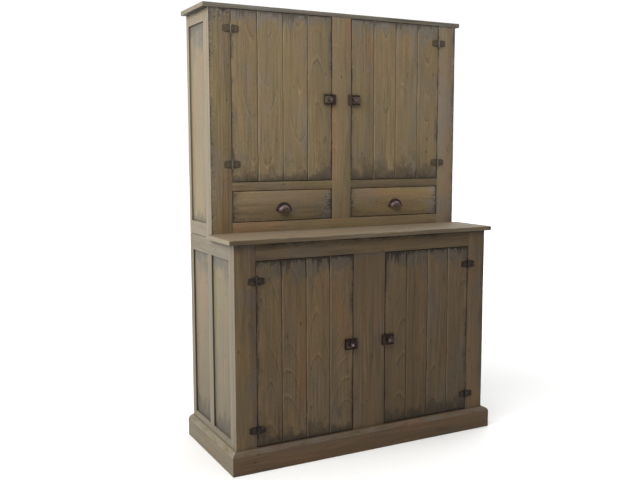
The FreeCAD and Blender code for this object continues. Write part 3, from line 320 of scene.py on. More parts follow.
def iron(name, base, red, rubbed, rough=0.42, metal=0.7, low=None, dents=1.0, worn_and_lit=None, left=1.0, side=None):
    """Cast iron with a brown patina, rubbed brighter in places. low is the colour on the lower case, partly its own
    patina and partly painted shade; the lower case is also darkened towards the floor as painted shade. The colour
    given after dents goes where the mesh marks polish and a painted highlight, and left darkens the left half of the
    cupboard. side is the colour of the upright side walls on the upper case."""
    n = Nodes(name)
    pos = n.add("ShaderNodeTexCoord").outputs["Object"]
    if low:
        base = n.mix(n.smooth(n.split(pos)[2], 0.95, 1.05), low, base)
    big = n.noise(pos, 90.0, 3.0, 0.6)
    small = n.noise(pos, 520.0, 3.0, 0.6)
    pit, _ = n.cells(pos, 700.0)
    col = n.mix(n.smooth(big, 0.42, 0.66), base, red)
    col = n.mix(n.mul(n.smooth(small, 0.58, 0.74), 0.55), col, rubbed)
    col = n.times(col, n.plus(0.75, n.mul(small, 0.5)))
    if low:
        # the colour is also scaled by height as painted shade: much darker on the lower case and darker towards the
        # floor, a little lighter towards the top of the upper case
        high = n.split(pos)[2]
        col = n.times(col, n.smooth(high, 0.95, 1.05, n.smooth(high, 0.20, 0.80, 0.43, 0.60), n.smooth(high, 1.35, 1.85, 0.93, 1.03)))
    if side:
        wall = n.math("ABSOLUTE", n.split(n.add("ShaderNodeTexCoord").outputs["Normal"])[0])
        wall = n.mul(n.smooth(wall, 0.70, 0.92), n.smooth(n.split(pos)[2], 0.95, 1.05))
        col = n.mix(wall, col, n.times(side, n.plus(0.75, n.mul(small, 0.5))))
    if left < 1.0:
        col = n.times(col, n.smooth(n.split(pos)[0], -0.01, 0.01, left, 1.0))
    if worn_and_lit:
        # the mesh marks polish with a painted highlight, and painted shade as a multiplier
        polish_and_highlight, shade, _ = n.split(n.attr("polish_and_light"))
        col = n.times(col, shade)
        col = n.mix(n.mul(polish_and_highlight, n.smooth(small, 0.36, 0.62, 0.55, 1.0)), col, worn_and_lit)
    p = n.bsdf.inputs
    n.put(p["Base Color"], col)
    p["Metallic"].default_value = metal
    p["Specular IOR Level"].default_value = 0.2
    n.put(p["Roughness"], n.plus(rough - 0.1, n.plus(n.mul(small, 0.16), n.mul(big, 0.06))))
    n.bump(n.plus(n.mul(small, 0.6), n.plus(n.mul(n.noise(pos, 210.0, 2.0, 0.5), 1.6 * (dents - 1.0)), n.plus(n.mul(big, 0.8), n.mul(n.smooth(pit, 0.0, 0.35), 0.4)))), 0.35, 0.0004 * dents)
    return n.mat


# The lower case's woods and their wax and pale colours are darker copies of the upper ones: partly darker wood, partly
# painted shade of the lower half. LOW_RAIL is darker still, partly grime and partly painted shadow under the counter.
DARK_UP, DARK_LOW, PALE_UP, PALE_LOW = (0.036, 0.0275, 0.0195), (0.0150, 0.0105, 0.0080), (0.29, 0.235, 0.155), (0.165, 0.124, 0.077)
UP = wood("wood_upper_front", (0.1961, 0.1447, 0.0800), (0.1696, 0.1285, 0.0742), (0.2385, 0.1339, 0.0673), (0.1823, 0.1512, 0.0719), (0.1590, 0.1382, 0.1137), DARK_UP, PALE_UP, line=0.34, ring=0.022, fog=(0.46, 0.92), foot=(0.98, 0.90, 0.78), spec=0.12, tint=0.34, streaks=0.66, both_ways=True, flecks=0.45, seam=0.72, ends=(0.66, 0.7))
UP_STILE = wood("wood_upper_stile", (0.1993, 0.1415, 0.0777), (0.1696, 0.1242, 0.0708), (0.2385, 0.1253, 0.0673), (0.1823, 0.1469, 0.0719), (0.1590, 0.1361, 0.1137), DARK_UP, PALE_UP, line=0.15, tint=0.55, fog=(0.50, 0.80), spec=0.12, specks=0.8, streaks=0.75)
UP_RAIL = wood("wood_upper_rail", (0.1940, 0.1404, 0.0766), (0.1654, 0.1210, 0.0673), (0.2491, 0.1318, 0.0626), (0.1760, 0.1404, 0.0673), (0.1590, 0.1318, 0.1067), DARK_UP, PALE_UP, line=0.10, tint=0.55, spec=0.12, streaks=0.7, greys=0.4, flecks=0.7, fog=(0.72, 0.95), specks=0.85)
LOW = wood("wood_lower_front", (0.1142, 0.0764, 0.0409), (0.0941, 0.0645, 0.0352), (0.1456, 0.0740, 0.0345), (0.1053, 0.0794, 0.0352), (0.0890, 0.0728, 0.0545), DARK_LOW, PALE_LOW, line=0.39, ring=0.024, fog=(0.43, 0.76), foot=(0.95, 0.94, 0.94), spec=0.12, ends=(0.40, 1.0), tint=0.35, streaks=0.74, flecks=0.45, seam=0.82, smear=(0.58, 0.54, 0.50))
LOW_STILE = wood("wood_lower_stile", (0.1142, 0.0779, 0.0440), (0.0941, 0.0657, 0.0378), (0.1456, 0.0754, 0.0370), (0.1053, 0.0809, 0.0378), (0.0874, 0.0743, 0.0687), DARK_LOW, PALE_LOW, line=0.16, streaks=0.8, fog=(0.42, 0.66), spec=0.12, smear=(0.60, 0.56, 0.54))
LOW_RAIL = wood("wood_lower_rail", (0.0963, 0.0684, 0.0399), (0.0784, 0.0567, 0.0333), (0.1176, 0.0643, 0.0326), (0.0896, 0.0696, 0.0352), (0.0784, 0.0667, 0.0572), DARK_LOW, PALE_LOW, line=0.10, tint=0.5, spec=0.12, smear=(0.60, 0.53, 0.36))
# The side woods are paler and greyer than the front woods: partly weathered wood, partly painted light and sheen of the
# side that faces the key lamp. The counter's and crown's end caps use the side wood for the same painted light, and
# CORNER_LOW is it darkened for the lower case as painted shade.
SIDE = wood("wood_side", (0.228, 0.189, 0.133), (0.214, 0.179, 0.127), (0.246, 0.186, 0.126), (0.216, 0.192, 0.124), (0.185, 0.168, 0.134), (0.030, 0.025, 0.019), (0.28, 0.242, 0.18), line=0.08, greys=0.5, threads=0.4, streaks=0.6)
SIDE_TONES = ((0.228, 0.189, 0.133), (0.214, 0.179, 0.127), (0.246, 0.186, 0.126), (0.216, 0.192, 0.124), (0.185, 0.168, 0.134), (0.030, 0.025, 0.019), (0.28, 0.242, 0.18))
CORNER_UP = wood("wood_corner_upper", *SIDE_TONES, line=0.08, greys=0.5, threads=0.4, streaks=0.6, plain=0.97)
CORNER_LOW = wood("wood_corner_lower", *SIDE_TONES, line=0.08, greys=0.5, threads=0.4, streaks=0.6, plain=0.77)
PANEL = wood("wood_side_panel", (0.2160, 0.1742, 0.1115), (0.2000, 0.1633, 0.1060), (0.2560, 0.1713, 0.1075), (0.2180, 0.1852, 0.0900), (0.1660, 0.1564, 0.1240), (0.033, 0.028, 0.023), (0.27, 0.235, 0.175), line=0.08, greys=0.40, threads=0.5, fog=(0.46, 0.62), streaks=0.6, ends=(0.45, 0.14), tint=0.70)
CROWN = wood("wood_crown", (0.1387, 0.1153, 0.0806), (0.1234, 0.1040, 0.0745), (0.1530, 0.1030, 0.0612), (0.1326, 0.1142, 0.0714), (0.1285, 0.1204, 0.1010), (0.020, 0.018, 0.016), (0.20, 0.178, 0.142), line=0.15, greys=0.8)
# The counter's front edge (LIP) is darker than its top (FLAT): painted shade, the top being lit from above. left_dark
# darkens the edge towards its left end.
FLAT = wood("wood_counter", (0.162, 0.126, 0.081), (0.144, 0.112, 0.072), (0.174, 0.110, 0.062), (0.154, 0.126, 0.070), (0.148, 0.128, 0.098), (0.024, 0.020, 0.016), (0.25, 0.20, 0.14), line=0.2)
LIP = wood("wood_counter_edge", (0.1341, 0.0985, 0.0606), (0.1136, 0.0835, 0.0516), (0.1449, 0.0889, 0.0482), (0.1266, 0.0985, 0.0550), (0.1211, 0.0985, 0.0752), (0.014, 0.012, 0.010), (0.23, 0.18, 0.125), line=0.2, left_dark=0.70, spec=0.12, tail=0.40)
# The plinth's front (BASE) is darkened with the lower case, partly painted shade; its sides (BASE_SIDE) are paler like
# the side woods, partly painted light of the lit side.
BASE = wood("wood_plinth", (0.0974, 0.0633, 0.0363), (0.0824, 0.0535, 0.0308), (0.1242, 0.0622, 0.0308), (0.0910, 0.0649, 0.0327), (0.0771, 0.0611, 0.0493), (0.014, 0.0115, 0.0095), (0.100, 0.083, 0.063), line=0.15, tint=0.42, spec=0.12, streaks=0.55, threads=0.4, chips=0.22)
BASE_SIDE = wood("wood_plinth_side", (0.165, 0.133, 0.086), (0.148, 0.120, 0.078), (0.192, 0.122, 0.068), (0.164, 0.138, 0.066), (0.136, 0.121, 0.094), (0.022, 0.019, 0.015), (0.20, 0.170, 0.122), line=0.12, tint=0.55, streaks=0.65, threads=0.5, chips=0.35)
INNER = wood("wood_inner", (0.25, 0.185, 0.110), (0.21, 0.152, 0.089), (0.262, 0.162, 0.080), (0.235, 0.180, 0.092), (0.225, 0.185, 0.130), (0.042, 0.032, 0.023), (0.30, 0.235, 0.155), line=0.35, greys=0.35)
HINGE = iron("iron_hinge", (0.056, 0.046, 0.031), (0.060, 0.043, 0.031), (0.15, 0.13, 0.10), 0.48, 0.6, (0.036, 0.021, 0.020))
HINGE_FACE = iron("iron_hinge_face", (0.112, 0.091, 0.059), (0.100, 0.073, 0.050), (0.21, 0.180, 0.132), 0.46, 0.55, (0.042, 0.0255, 0.0225))
PIN = iron("iron_pin", (0.17, 0.155, 0.13), (0.12, 0.10, 0.08), (0.36, 0.34, 0.30), 0.36, 0.8, (0.050, 0.040, 0.036))
LATCH = iron("iron_latch", (0.036, 0.030, 0.021), (0.042, 0.031, 0.023), (0.13, 0.112, 0.09), 0.42, 0.7, (0.032, 0.019, 0.019), side=(0.094, 0.076, 0.047))
COVER = iron("iron_cover", (0.130, 0.105, 0.066), (0.102, 0.075, 0.049), (0.23, 0.20, 0.15), 0.44, 0.55, (0.066, 0.038, 0.034))
KNOB_IRON = iron("iron_knob", (0.078, 0.058, 0.063), (0.105, 0.068, 0.072), (0.27, 0.225, 0.225), 0.30, 0.8, (0.094, 0.060, 0.062), worn_and_lit=(0.34, 0.275, 0.28))
KEEP = iron("iron_keeper", (0.092, 0.063, 0.052), (0.106, 0.064, 0.053), (0.18, 0.14, 0.125), 0.44, 0.7, (0.056, 0.034, 0.033), left=0.66)
PULL = iron("iron_pull", (0.077, 0.048, 0.042), (0.112, 0.065, 0.056), (0.34, 0.26, 0.235), 0.36, 0.75, None, 2.4, worn_and_lit=(0.25, 0.205, 0.19))


# ------------------------------------------------------------------ board mesh
class Wood:
    """Collects boards into one mesh, with the attributes that the wood reads."""

    def __init__(self):
        self.v, self.f = [], []
        self.grain, self.board, self.wax, self.tone = [], [], [], []
        self.facet, self.mat = [], []

    def build(self, name, body, nodes):
        me = bpy.data.meshes.new(name)
        me.from_pydata(self.v, [], self.f)
        used = []
        for m in self.mat:
            if m not in used:
                used.append(m)
        for m in used:
            me.materials.append(m)
        me.polygons.foreach_set("material_index", [used.index(m) for m in self.mat])
        for key, domain, data in (
            ("grain", "POINT", self.grain),
            ("board", "POINT", self.board),
            ("wax", "POINT", self.wax),
            ("tone", "POINT", self.tone),
            ("facet", "FACE", self.facet),
        ):
            at = me.attributes.new(key, "FLOAT_VECTOR", domain)
            at.data.foreach_set("vector", [c for p in data for c in p])
        me.polygons.foreach_set("use_smooth", [True] * len(me.polygons))
        me.update()
        me.set_sharp_from_angle(angle=math.radians(28))
        o = bpy.data.objects.new(name, me)
        bpy.context.scene.collection.objects.link(o)
        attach(o, body)
        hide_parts(*nodes)
        return o


AXIS = {"x": Vector((1, 0, 0)), "y": Vector((0, 1, 0)), "z": Vector((0, 0, 1))}
count = [0]


def board(w, x, y, z, grain, front, mat, bevel=1.6, nick=2.0, vee=(0, 0), wax=(0, 0, 0), gap_shade=(0, 0), rim=(1, 1), side_mat=(None, None), step=11.0, end=1.0, wave=0.35, end_shade=0.0, end_mat=None, back_shade=0.0, tone=1.0, greyer=0.0):
    """One board between two X, Y and Z planes. Its corners are eased by hand, unevenly, with small nicks.
    vee is the chamfer on the two long front edges where boards meet in a V. The painted shade in gaps and side_mat are
    for the two long side faces, minus U first; the ends and the back take painted shade of their own."""
    count[0] += 1
    seed = count[0] * 1.37
    lo = Vector((min(x), min(y), min(z)))
    hi = Vector((max(x), max(y), max(z)))
    V = AXIS[grain]
    N = AXIS[front[1]] * (-1 if front[0] == "-" else 1)
    U = V.cross(N)
    c = (lo + hi) / 2
    size = hi - lo

    def half(a):
        return abs(size.dot(a)) / 2

    hu, hn, hv = half(U), half(N), half(V)
    t0, t1 = tone if isinstance(tone, tuple) else (tone, tone)
    L = 2 * hv
    k = max(2, int(round(L / step)))
    stations = [(0.0, end), (end * 1.2, 0.0)]
    stations += [(L * i / k, 0.0) for i in range(1, k)]
    stations += [(L - end * 1.2, 0.0), (L, end)]
    base = len(w.v)

    def n1(s, corner, f):
        return perlin.noise(Vector((s * f, seed * 3.1, corner * 5.7)))

    for s, inset in stations:
        ring = []
        corners = ((-1, 1), (1, 1), (1, -1), (-1, -1))
        for ci, (su, sn) in enumerate(corners):
            front_edge = sn > 0
            flat = vee[0 if su < 0 else 1] if front_edge else 0
            size_c = flat or (bevel if front_edge else bevel * 0.6)
            e = size_c * (0.75 + 0.5 * n1(s, ci, 0.021)) if not flat else flat * (1 + 0.15 * n1(s, ci, 0.03))
            e += max(0.0, n1(s, ci + 9, 0.034) - 0.28) * nick * (1 if front_edge else 0.3)
            e = max(0.25, min(e, hu * 0.45, hn * 0.8))
            du = wave * n1(s, ci + 20, 0.009) * (0 if flat else 1)
            m = 0.5 if flat else 0.293
            pts = [(hu, hn - e), (hu - e * m, hn - e * m), (hu - e, hn)]
            order = pts if su * sn < 0 else pts
            quad = [(su * (a - inset * 0.7 - (abs(du))), sn * (b - inset * 0.7)) for a, b in order]
            if su * sn > 0:
                quad.reverse()
            ring += quad
        # clockwise in (u, b): front left, front right, back right, back left
        fl, fr, br, bl = ring[0:3], ring[3:6], ring[6:9], ring[9:12]
        fl = sorted(fl, key=lambda p: p[0])
        fr = sorted(fr, key=lambda p: p[0])
        br = sorted(br, key=lambda p: -p[0])
        bl = sorted(bl, key=lambda p: -p[0])
        for a, b in fl + fr + br + bl:
            p = c + U * a + N * b + V * (s - hv)
            w.v.append((p.x * MM, p.y * MM, p.z * MM))
            w.grain.append((a * MM, (hn - b) * MM, s * MM))
            w.board.append((hu * MM, L * MM, seed))
            w.wax.append(wax)
            w.tone.append((t0 + (t1 - t0) * s / L, greyer, (1.0 if vee[0] else 0.0) + (2.0 if vee[1] else 0.0)))
    m12 = 12
    rows = len(stations)
    # what each strip of faces is: rim value (paler above 0, paler still above 1 as wear and a painted highlight, darker
    # below 0), painted shade in gaps, material
    g = [-1 if vee[0] else rim[0], -1 if vee[1] else rim[1]]
    near = [1.35 if vee[0] else rim[0], -0.45 if vee[1] else rim[1]]
    sm = [side_mat[0] or mat, side_mat[1] or mat]
    strips = [
        (g[0], gap_shade[0] * 0.5, mat), (near[0], 0.0 if vee[0] else gap_shade[0] * 0.25, mat),
        (0, 0, mat),
        (near[1], 0.0 if vee[1] else gap_shade[1] * 0.25, mat), (g[1], gap_shade[1] * 0.5, mat),
        (0, gap_shade[1], sm[1]),
        (0, max(gap_shade[1] * 0.5, back_shade), mat), (0, back_shade, mat),
        (0, back_shade, mat),
        (0, back_shade, mat), (0, max(gap_shade[0] * 0.5, back_shade), mat),
        (0, gap_shade[0], sm[0]),
    ]
    for j in range(rows - 1):
        for i in range(m12):
            i2 = (i + 1) % m12
            w.f.append((base + j * m12 + i, base + j * m12 + i2, base + (j + 1) * m12 + i2, base + (j + 1) * m12 + i))
            r, dd, mm = strips[i]
            tip = j in (0, rows - 2)
            w.facet.append((max(r, 0.6) if tip and r >= 0 and not dd else r, 0.0, max(dd, end_shade * 0.6) if tip else dd))
            w.mat.append(end_mat or mm if tip else mm)
    w.f.append(tuple(base + i for i in reversed(range(m12))))
    w.f.append(tuple(base + (rows - 1) * m12 + i for i in range(m12)))
    for _ in range(2):
        w.facet.append((0.0, 0.0 if end_mat else 1.0, end_shade))
        w.mat.append(end_mat or mat)


def mirror(pair, s):
    return (pair[0], pair[1]) if s > 0 else (-pair[1], -pair[0])


# ------------------------------------------------------------------ the case
def side_members():
    stiles, rails, panels = Wood(), Wood(), Wood()
    ustiles, urails, upanels = Wood(), Wood(), Wood()
    for s in (-1, 1):
        x = mirror((IN_X, HALF), s)
        px = mirror((HALF - 16, HALF - 8), s)
        out = "-x" if s < 0 else "+x"
        # the lower case's side stiles and rails are toned darker than the upper case's, and the lower panels darker
        # towards the bottom, as painted shade
        for ya, yb in ((-246.5, -201.5), (254.5, 295.5)):
            edges = (1, 1) if ya < 0 else (0.1, 1) if s < 0 else (1, 0.1)
            board(stiles, x, (ya, yb), (0, TOP), "z", out, SIDE, bevel=1.0, nick=1.6, gap_shade=edges, step=14, tone=0.76 if ya < 0 else 0.79)
        board(stiles, x, (5.5, 55.5), (128, 920), "z", out, SIDE, bevel=1.0, nick=1.6, end=0.2, gap_shade=(1, 1), step=14, tone=0.82)
        board(rails, x, (-201.5, 254.5), (0, 128), "y", out, SIDE, bevel=1.0, nick=1.6, end=0.2, gap_shade=(0.8, 0.12) if s < 0 else (0.12, 0.8), step=14, tone=0.76)
        board(rails, x, (-201.5, 254.5), (920, TOP), "y", out, SIDE, bevel=1.0, nick=1.6, end=0.2, gap_shade=(0.8, 0.8), step=14, tone=0.82, greyer=0.2)
        board(panels, px, (-206.5, 10.5), (123, 925), "z", out, PANEL, bevel=0.6, nick=0, wax=(1.0, 0.85, 0), tone=(0.66, 0.90))
        board(panels, px, (50.5, 259.5), (123, 925), "z", out, PANEL, bevel=0.6, nick=0, wax=(1.0, 0.82, 0), tone=(0.62, 0.90))
        for ya, yb in ((17.5, 66.5), (265.5, 295.5)):
            edges = (0.8, 0.8) if ya < 100 else (0.1, 0.8) if s < 0 else (0.8, 0.1)
            board(ustiles, x, (ya, yb), (TOP + 1.6, 2003), "z", out, SIDE, bevel=1.0, nick=1.6, gap_shade=edges, step=14, end_shade=0.85)
        board(urails, x, (66.5, 265.5), (TOP + 1.6, 1056), "y", out, SIDE, bevel=1.0, nick=1.6, end=0.2, gap_shade=(0.8, 0.12) if s < 0 else (0.12, 0.8), step=14, tone=0.90)
        board(urails, x, (66.5, 265.5), (1951, 2003), "y", out, SIDE, bevel=1.0, nick=1.6, end=0.2, gap_shade=(0.8, 0.8), step=14)
        board(upanels, px, (61.5, 270.5), (1051, 1956), "z", out, PANEL, bevel=0.6, nick=0, wax=(0.45, 1.05, 0), tone=(1.03, 0.95))
    stiles.build("base_side_stiles_look", "carcase", ["base_side_stiles"])
    rails.build("base_side_rails_look", "carcase", ["base_side_rails"])
    panels.build("base_side_panels_look", "carcase", ["base_side_panels"])
    ustiles.build("upper_side_stiles_look", "carcase", ["upper_side_stiles"])
    urails.build("upper_side_rails_look", "carcase", ["upper_side_rails"])
    upanels.build("upper_side_panels_look", "carcase", ["upper_side_panels"])


side_members()


def face_frames():
    w = Wood()
    y = (FLO, FLO + 22)
    board(w, (-HALF, -LX), y, (0, TOP), "z", "-y", LOW_STILE, bevel=2.0, nick=4.5, gap_shade=(0, 0.15), side_mat=(CORNER_LOW, None), wax=(0, 0.30, 0.25), rim=(-0.6, 1), tone=(1.05, 0.93))
    board(w, (LX, HALF), y, (0, TOP), "z", "-y", LOW_STILE, bevel=2.0, nick=4.5, gap_shade=(0.40, 0), side_mat=(None, CORNER_LOW), wax=(0.3, 0.4, 0.6), rim=(1, -0.8), tone=0.92)
    board(w, (-MX, MX), y, (100, 920), "z", "-y", LOW_STILE, bevel=1.6, nick=2.5, gap_shade=(0.8, 0.8), end=0.2, wax=(0.2, 0.2, -0.12), tone=0.93)
    w.build("base_face_stiles_look", "carcase", ["base_face_stiles"])
    w = Wood()
    # the top rail's edge wax along its top is a painted shadow under the counter
    board(w, (-LX, LX), y, (920, TOP), "x", "-y", LOW_RAIL, bevel=1.2, nick=1.5, gap_shade=(0, 0.8), end=0.2, wax=(0, 0, -0.8), tone=0.96)
    board(w, (-LX, LX), y, (0, 100), "x", "-y", LOW_RAIL, bevel=1.2, nick=1.0, gap_shade=(0.5, 0), end=0.2)
    w.build("base_face_rails_look", "carcase", ["base_face_rails"])
    w = Wood()
    y = (FUP, FUP + 22)
    board(w, (-HALF, -UX), y, (TOP, 2003), "z", "-y", UP_STILE, bevel=1.8, nick=4.5, gap_shade=(0, 0.0), side_mat=(CORNER_UP, None), wax=(0, 0.62, -0.45), rim=(-0.7, 1), tone=0.87)
    board(w, (UX, HALF), y, (TOP, 2003), "z", "-y", UP_STILE, bevel=1.8, nick=4.5, gap_shade=(0.6, 0), side_mat=(None, CORNER_UP), wax=(0, 0.35, 0.6), rim=(1, -1), tone=1.02, greyer=0.3)
    board(w, (-CX, CX), y, (1060, 2003), "z", "-y", UP_STILE, bevel=1.6, nick=2.5, gap_shade=(0.8, 0.8), end=0.2, tone=0.90, greyer=0.1)
    w.build("upper_face_stiles_look", "carcase", ["upper_face_stiles"])
    w = Wood()
    for s in (-1, 1):
        board(w, mirror((CX, UX), s), y, (1203, 1242), "x", "-y", UP_RAIL, bevel=1.4, nick=2.0, gap_shade=(0.8, 0.8), end=0.2, tone=0.90 if s < 0 else 0.71, greyer=0.1)
    board(w, (-UX, UX), y, (TOP, 1060), "x", "-y", UP_RAIL, bevel=1.2, nick=1.5, gap_shade=(0.8, 0), end=0.2, tone=0.96)
    w.build("upper_face_rails_look", "carcase", ["upper_face_rails"])


face_frames()


def flats():
    for name, x, y, z, mat, kw in (
        ("counter_top", (-688, 688), (-285.5, FUP), (TOP, 1013), FLAT, dict(bevel=2.6, nick=5.0, wave=1.6, end=2.0, step=12, side_mat=(None, LIP), end_mat=SIDE, back_shade=0.75)),
        ("crown_board", (-686, 686), (FUP, BACK), (2003, 2023), CROWN, dict(bevel=2.2, nick=4.0, wave=0.9, end=1.6, step=12, end_mat=SIDE, back_shade=0.7, tone=0.86, greyer=0.35)),
        ("base_floor", (-IN_X, IN_X), (FLO + 22, IN_Y), (82, 100), INNER, {}),
        ("base_sub_top", (-IN_X, IN_X), (FLO + 22, IN_Y), (975, TOP), INNER, {}),
        ("upper_drawer_floor", (-IN_X, IN_X), (FUP + 22, IN_Y), (1042, 1060), INNER, {}),
        ("upper_deck", (-IN_X, IN_X), (FUP + 22, IN_Y), (1224, 1242), INNER, {}),
    ):
        w = Wood()
        board(w, x, y, z, "x", "+z", mat, **kw)
        w.build(name + "_look", "carcase", [name])
    for name, z in (("base_back_boards", (30, TOP - 1.2)), ("upper_back_boards", (TOP + 1.2, 2003))):
        w = Wood()
        step = 2 * IN_X / 6
        for i in range(6):
            board(w, (-IN_X + step * i + 0.4, -IN_X + step * (i + 1) - 0.4), (IN_Y, BACK), z, "z", "+y", INNER, bevel=1.6, nick=1.0, vee=(2.4, 2.4), wax=(0.35, 0.25, 0), gap_shade=(0.9, 0.9), end_shade=0.6, step=40, tone=(0.80, 0.70, 0.84, 0.74, 0.79, 0.68)[i if z[0] < 100 else 5 - i])
        w.build(name + "_look", "carcase", [name])
    w, c = Wood(), Wood()
    for face, z in ((FLO, 520), (FUP, 1492), (FUP, 1746)):
        y = (face + 54, IN_Y - 1)
        board(w, (-IN_X + 1, IN_X - 1), y, (z - 18, z), "x", "+z", INNER, bevel=1.8, nick=1.5, step=40)
        for s in (-1, 1):
            board(c, mirror((IN_X - 20, IN_X), s), (y[0] + 30, y[1]), (z - 48, z - 18), "y", "-x" if s > 0 else "+x", INNER, bevel=1.6, nick=1.0, step=60)
    w.build("shelves_look", "carcase", ["shelves"])
    c.build("shelf_cleats_look", "carcase", ["shelf_cleats"])
    w = Wood()
    y = (FUP + 22, IN_Y)
    board(w, (-9, 9), y, (1060, 1224), "y", "-x", INNER, step=60)
    for s in (-1, 1):
        for x in ((CX + GAP - 20, CX + GAP), (UX - GAP, UX - GAP + 20)):
            board(w, mirror(x, s), y, (1060, 1090), "y", "+z", INNER, step=60)
    w.build("drawer_guides_look", "carcase", ["drawer_guides"])


flats()


# ------------------------------------------------------------------ plinth
def plinth():
    prof = [(0, 0), (25.4, 0), (26.6, 1.0), (27, 2.8), (27, 40), (27, 76), (26.6, 80.4), (25.4, 85.1), (23.4, 89.0), (20.3, 92.6), (16.2, 95.6), (11.6, 97.8), (7.0, 99.4), (3.6, 100.6), (1.6, 101.3), (0, 102)]
    along = [0.0]
    for (p, z), (p2, z2) in zip(prof, prof[1:]):
        along.append(along[-1] + math.hypot(p2 - p, z2 - z))
    full = along[-1]
    w = Wood()
    for part in ("front", "left", "right"):
        count[0] += 1
        seed = count[0] * 1.37
        L = 2 * (HALF + 27) if part == "front" else 591.0
        k = int(L / 20)
        base = len(w.v)
        for j in range(k + 1):
            f = j / k
            for i, (p, z) in enumerate(prof):
                s0 = f * L
                wob = 0.0
                if 5 <= i <= 11:
                    wob = 0.9 * perlin.noise(Vector((s0 * 0.022, seed, 1.0))) - max(0.0, perlin.noise(Vector((s0 * 0.045, seed, i * 0.15))) - 0.3) * 3.0
                pp = max(0.0, p + min(0.0, wob))
                zz = z + min(0.0, wob) * 0.6 if 5 <= i <= 11 else z
                if part == "front":
                    xx = -(HALF + pp) + f * 2 * (HALF + pp)
                    q = Vector((xx, FLO - pp, zz))
                elif part == "left":
                    # runs from the back to the front mitre, so that the faces look outwards
                    yy = BACK + f * ((FLO - pp) - BACK)
                    q = Vector((-(HALF + pp), yy, zz))
                else:
                    yy = (FLO - pp) + f * (BACK - (FLO - pp))
                    q = Vector((HALF + pp, yy, zz))
                w.v.append((q.x * MM, q.y * MM, q.z * MM))
                w.grain.append(((along[i] - 27 - 50) * MM, (27 - pp) * 0.2 * MM, s0 * MM))
                w.board.append((0.075, L * MM, seed))
                w.wax.append((0.0, 0.0, 0.0))
                w.tone.append((1.0, 0.0, 0.0))
        m = len(prof)
        for j in range(k):
            for i in range(m):
                i2 = (i + 1) % m
                a, b = base + j * m, base + (j + 1) * m
                w.f.append((a + i, b + i, b + i2, a + i2))
                # the round's strips are paler, wear and a painted highlight along its top; the top strips next to the
                # doors get painted shade
                rim_wear_and_highlight = 1.75 if i in (7, 11) else 1.32 if 6 <= i <= 8 else 1.52 if 9 <= i <= 11 else 0.6 if i in (1, 2) else -0.5 if i == 5 else 0.0
                w.facet.append((rim_wear_and_highlight, 0.0, 0.3 if i >= 12 and i < m - 1 else 0.0))
                w.mat.append(BASE if part == "front" else BASE_SIDE)
        w.f.append(tuple(base + i for i in range(m)))
        w.f.append(tuple(base + k * m + i for i in reversed(range(m))))
        for _ in range(2):
            w.facet.append((0.0, 1.0, 0.0))
            w.mat.append(BASE_SIDE)
    w.build("plinth_boards_look", "carcase", ["plinth_boards"])


plinth()

# ------------------------------------------------------------------ doors
DOORS = [
    ("door_upper_left", -1, FUP, CX, UX, 1244.5, 2000.5, (1917, 1323), 1622, UP),
    ("door_upper_right", 1, FUP, CX, UX, 1244.5, 2000.5, (1917, 1323), 1622, UP),
    ("door_lower_left", -1, FLO, MX, LX, 105.0, 917.5, (832, 179), 508, LOW),
    ("door_lower_right", 1, FLO, MX, LX, 105.0, 917.5, (832, 179), 508, LOW),
]
# brightness of each door board, from its bottom to its top where two are given; the lower doors darken towards the
# bottom and the lower right door most, as painted shade
BOARD_TONE_AND_SHADE = {
    "door_upper_left": (0.825, 1.05, 0.94, 0.92),
    "door_upper_right": (0.84, 1.00, 0.94, 1.02),
    "door_lower_left": (0.925, 1.02, (1.00, 1.05), (0.99, 1.07)),
    "door_lower_right": ((0.69, 0.97), (0.71, 1.0), (0.82, 1.08), (0.80, 1.10)),
}
WAX_TOP = {
    "door_upper_left": (0.75, 0.62, 0.65, 0.45),
    "door_upper_right": (0.70, 0.55, 0.62, 0.60),
    "door_lower_left": (1.0, 0.80, 0.98, 0.84),
    "door_lower_right": (0.95, 0.85, 0.78, 0.90),
}
for name, s, face, mid, jamb, z0, z1, hinges, lz, mat in DOORS:
    x0, x1 = mirror((mid + GAP, jamb - GAP), s)
    bw = (x1 - x0) / 4
    w = Wood()
    upper = face == FUP
    for i in range(4):
        left, right = i == 0, i == 3
        edge = 0.0
        if left:
            edge = (-0.50 if s < 0 else -0.38) if upper else (-0.62 if s < 0 else -0.42)
        if right:
            edge = (0.5 if s < 0 else 0.58) if upper else (0.5 if s < 0 else 0.56)
        lo = (0.60 if s < 0 else 0.80) if upper else (0.74 if s < 0 else 0.56)
        hi = WAX_TOP[name][i]
        tone = BOARD_TONE_AND_SHADE[name][i]
        board(w, (x0 + bw * i, x0 + bw * (i + 1)), (face, face + 20), (z0, z1), "z", "-y", mat, bevel=1.3 if left and s < 0 else 1.8, nick=3.0, vee=(0 if left else 3.0, 0 if right else 3.0), wax=(lo, hi, edge), gap_shade=((0.0 if upper else 0.12) if left and s < 0 else 0.45 if left else 0.8, 0.8 if s < 0 or not right else 0.6 if upper else 0.4), rim=(1.35 if left and s < 0 else 0.8, 0.8), end_shade=0.3 if upper else 0.22, wave=0.0, tone=tone, greyer=0.0 if upper or s < 0 else 0.10)
    w.build(name + "_boards_look", name, [name + "_boards"])
    w = Wood()
    for zc in (z0 + 120, z1 - 120):
        board(w, (x0 + 45, x1 - 45), (face + 20, face + 38), (zc - 45, zc + 45), "x", "+y", INNER, bevel=3.0, nick=1.5, step=40, end=2.0, tone=0.84 if upper else 0.74)
    w.build(name + "_battens_look", name, [name + "_battens"])

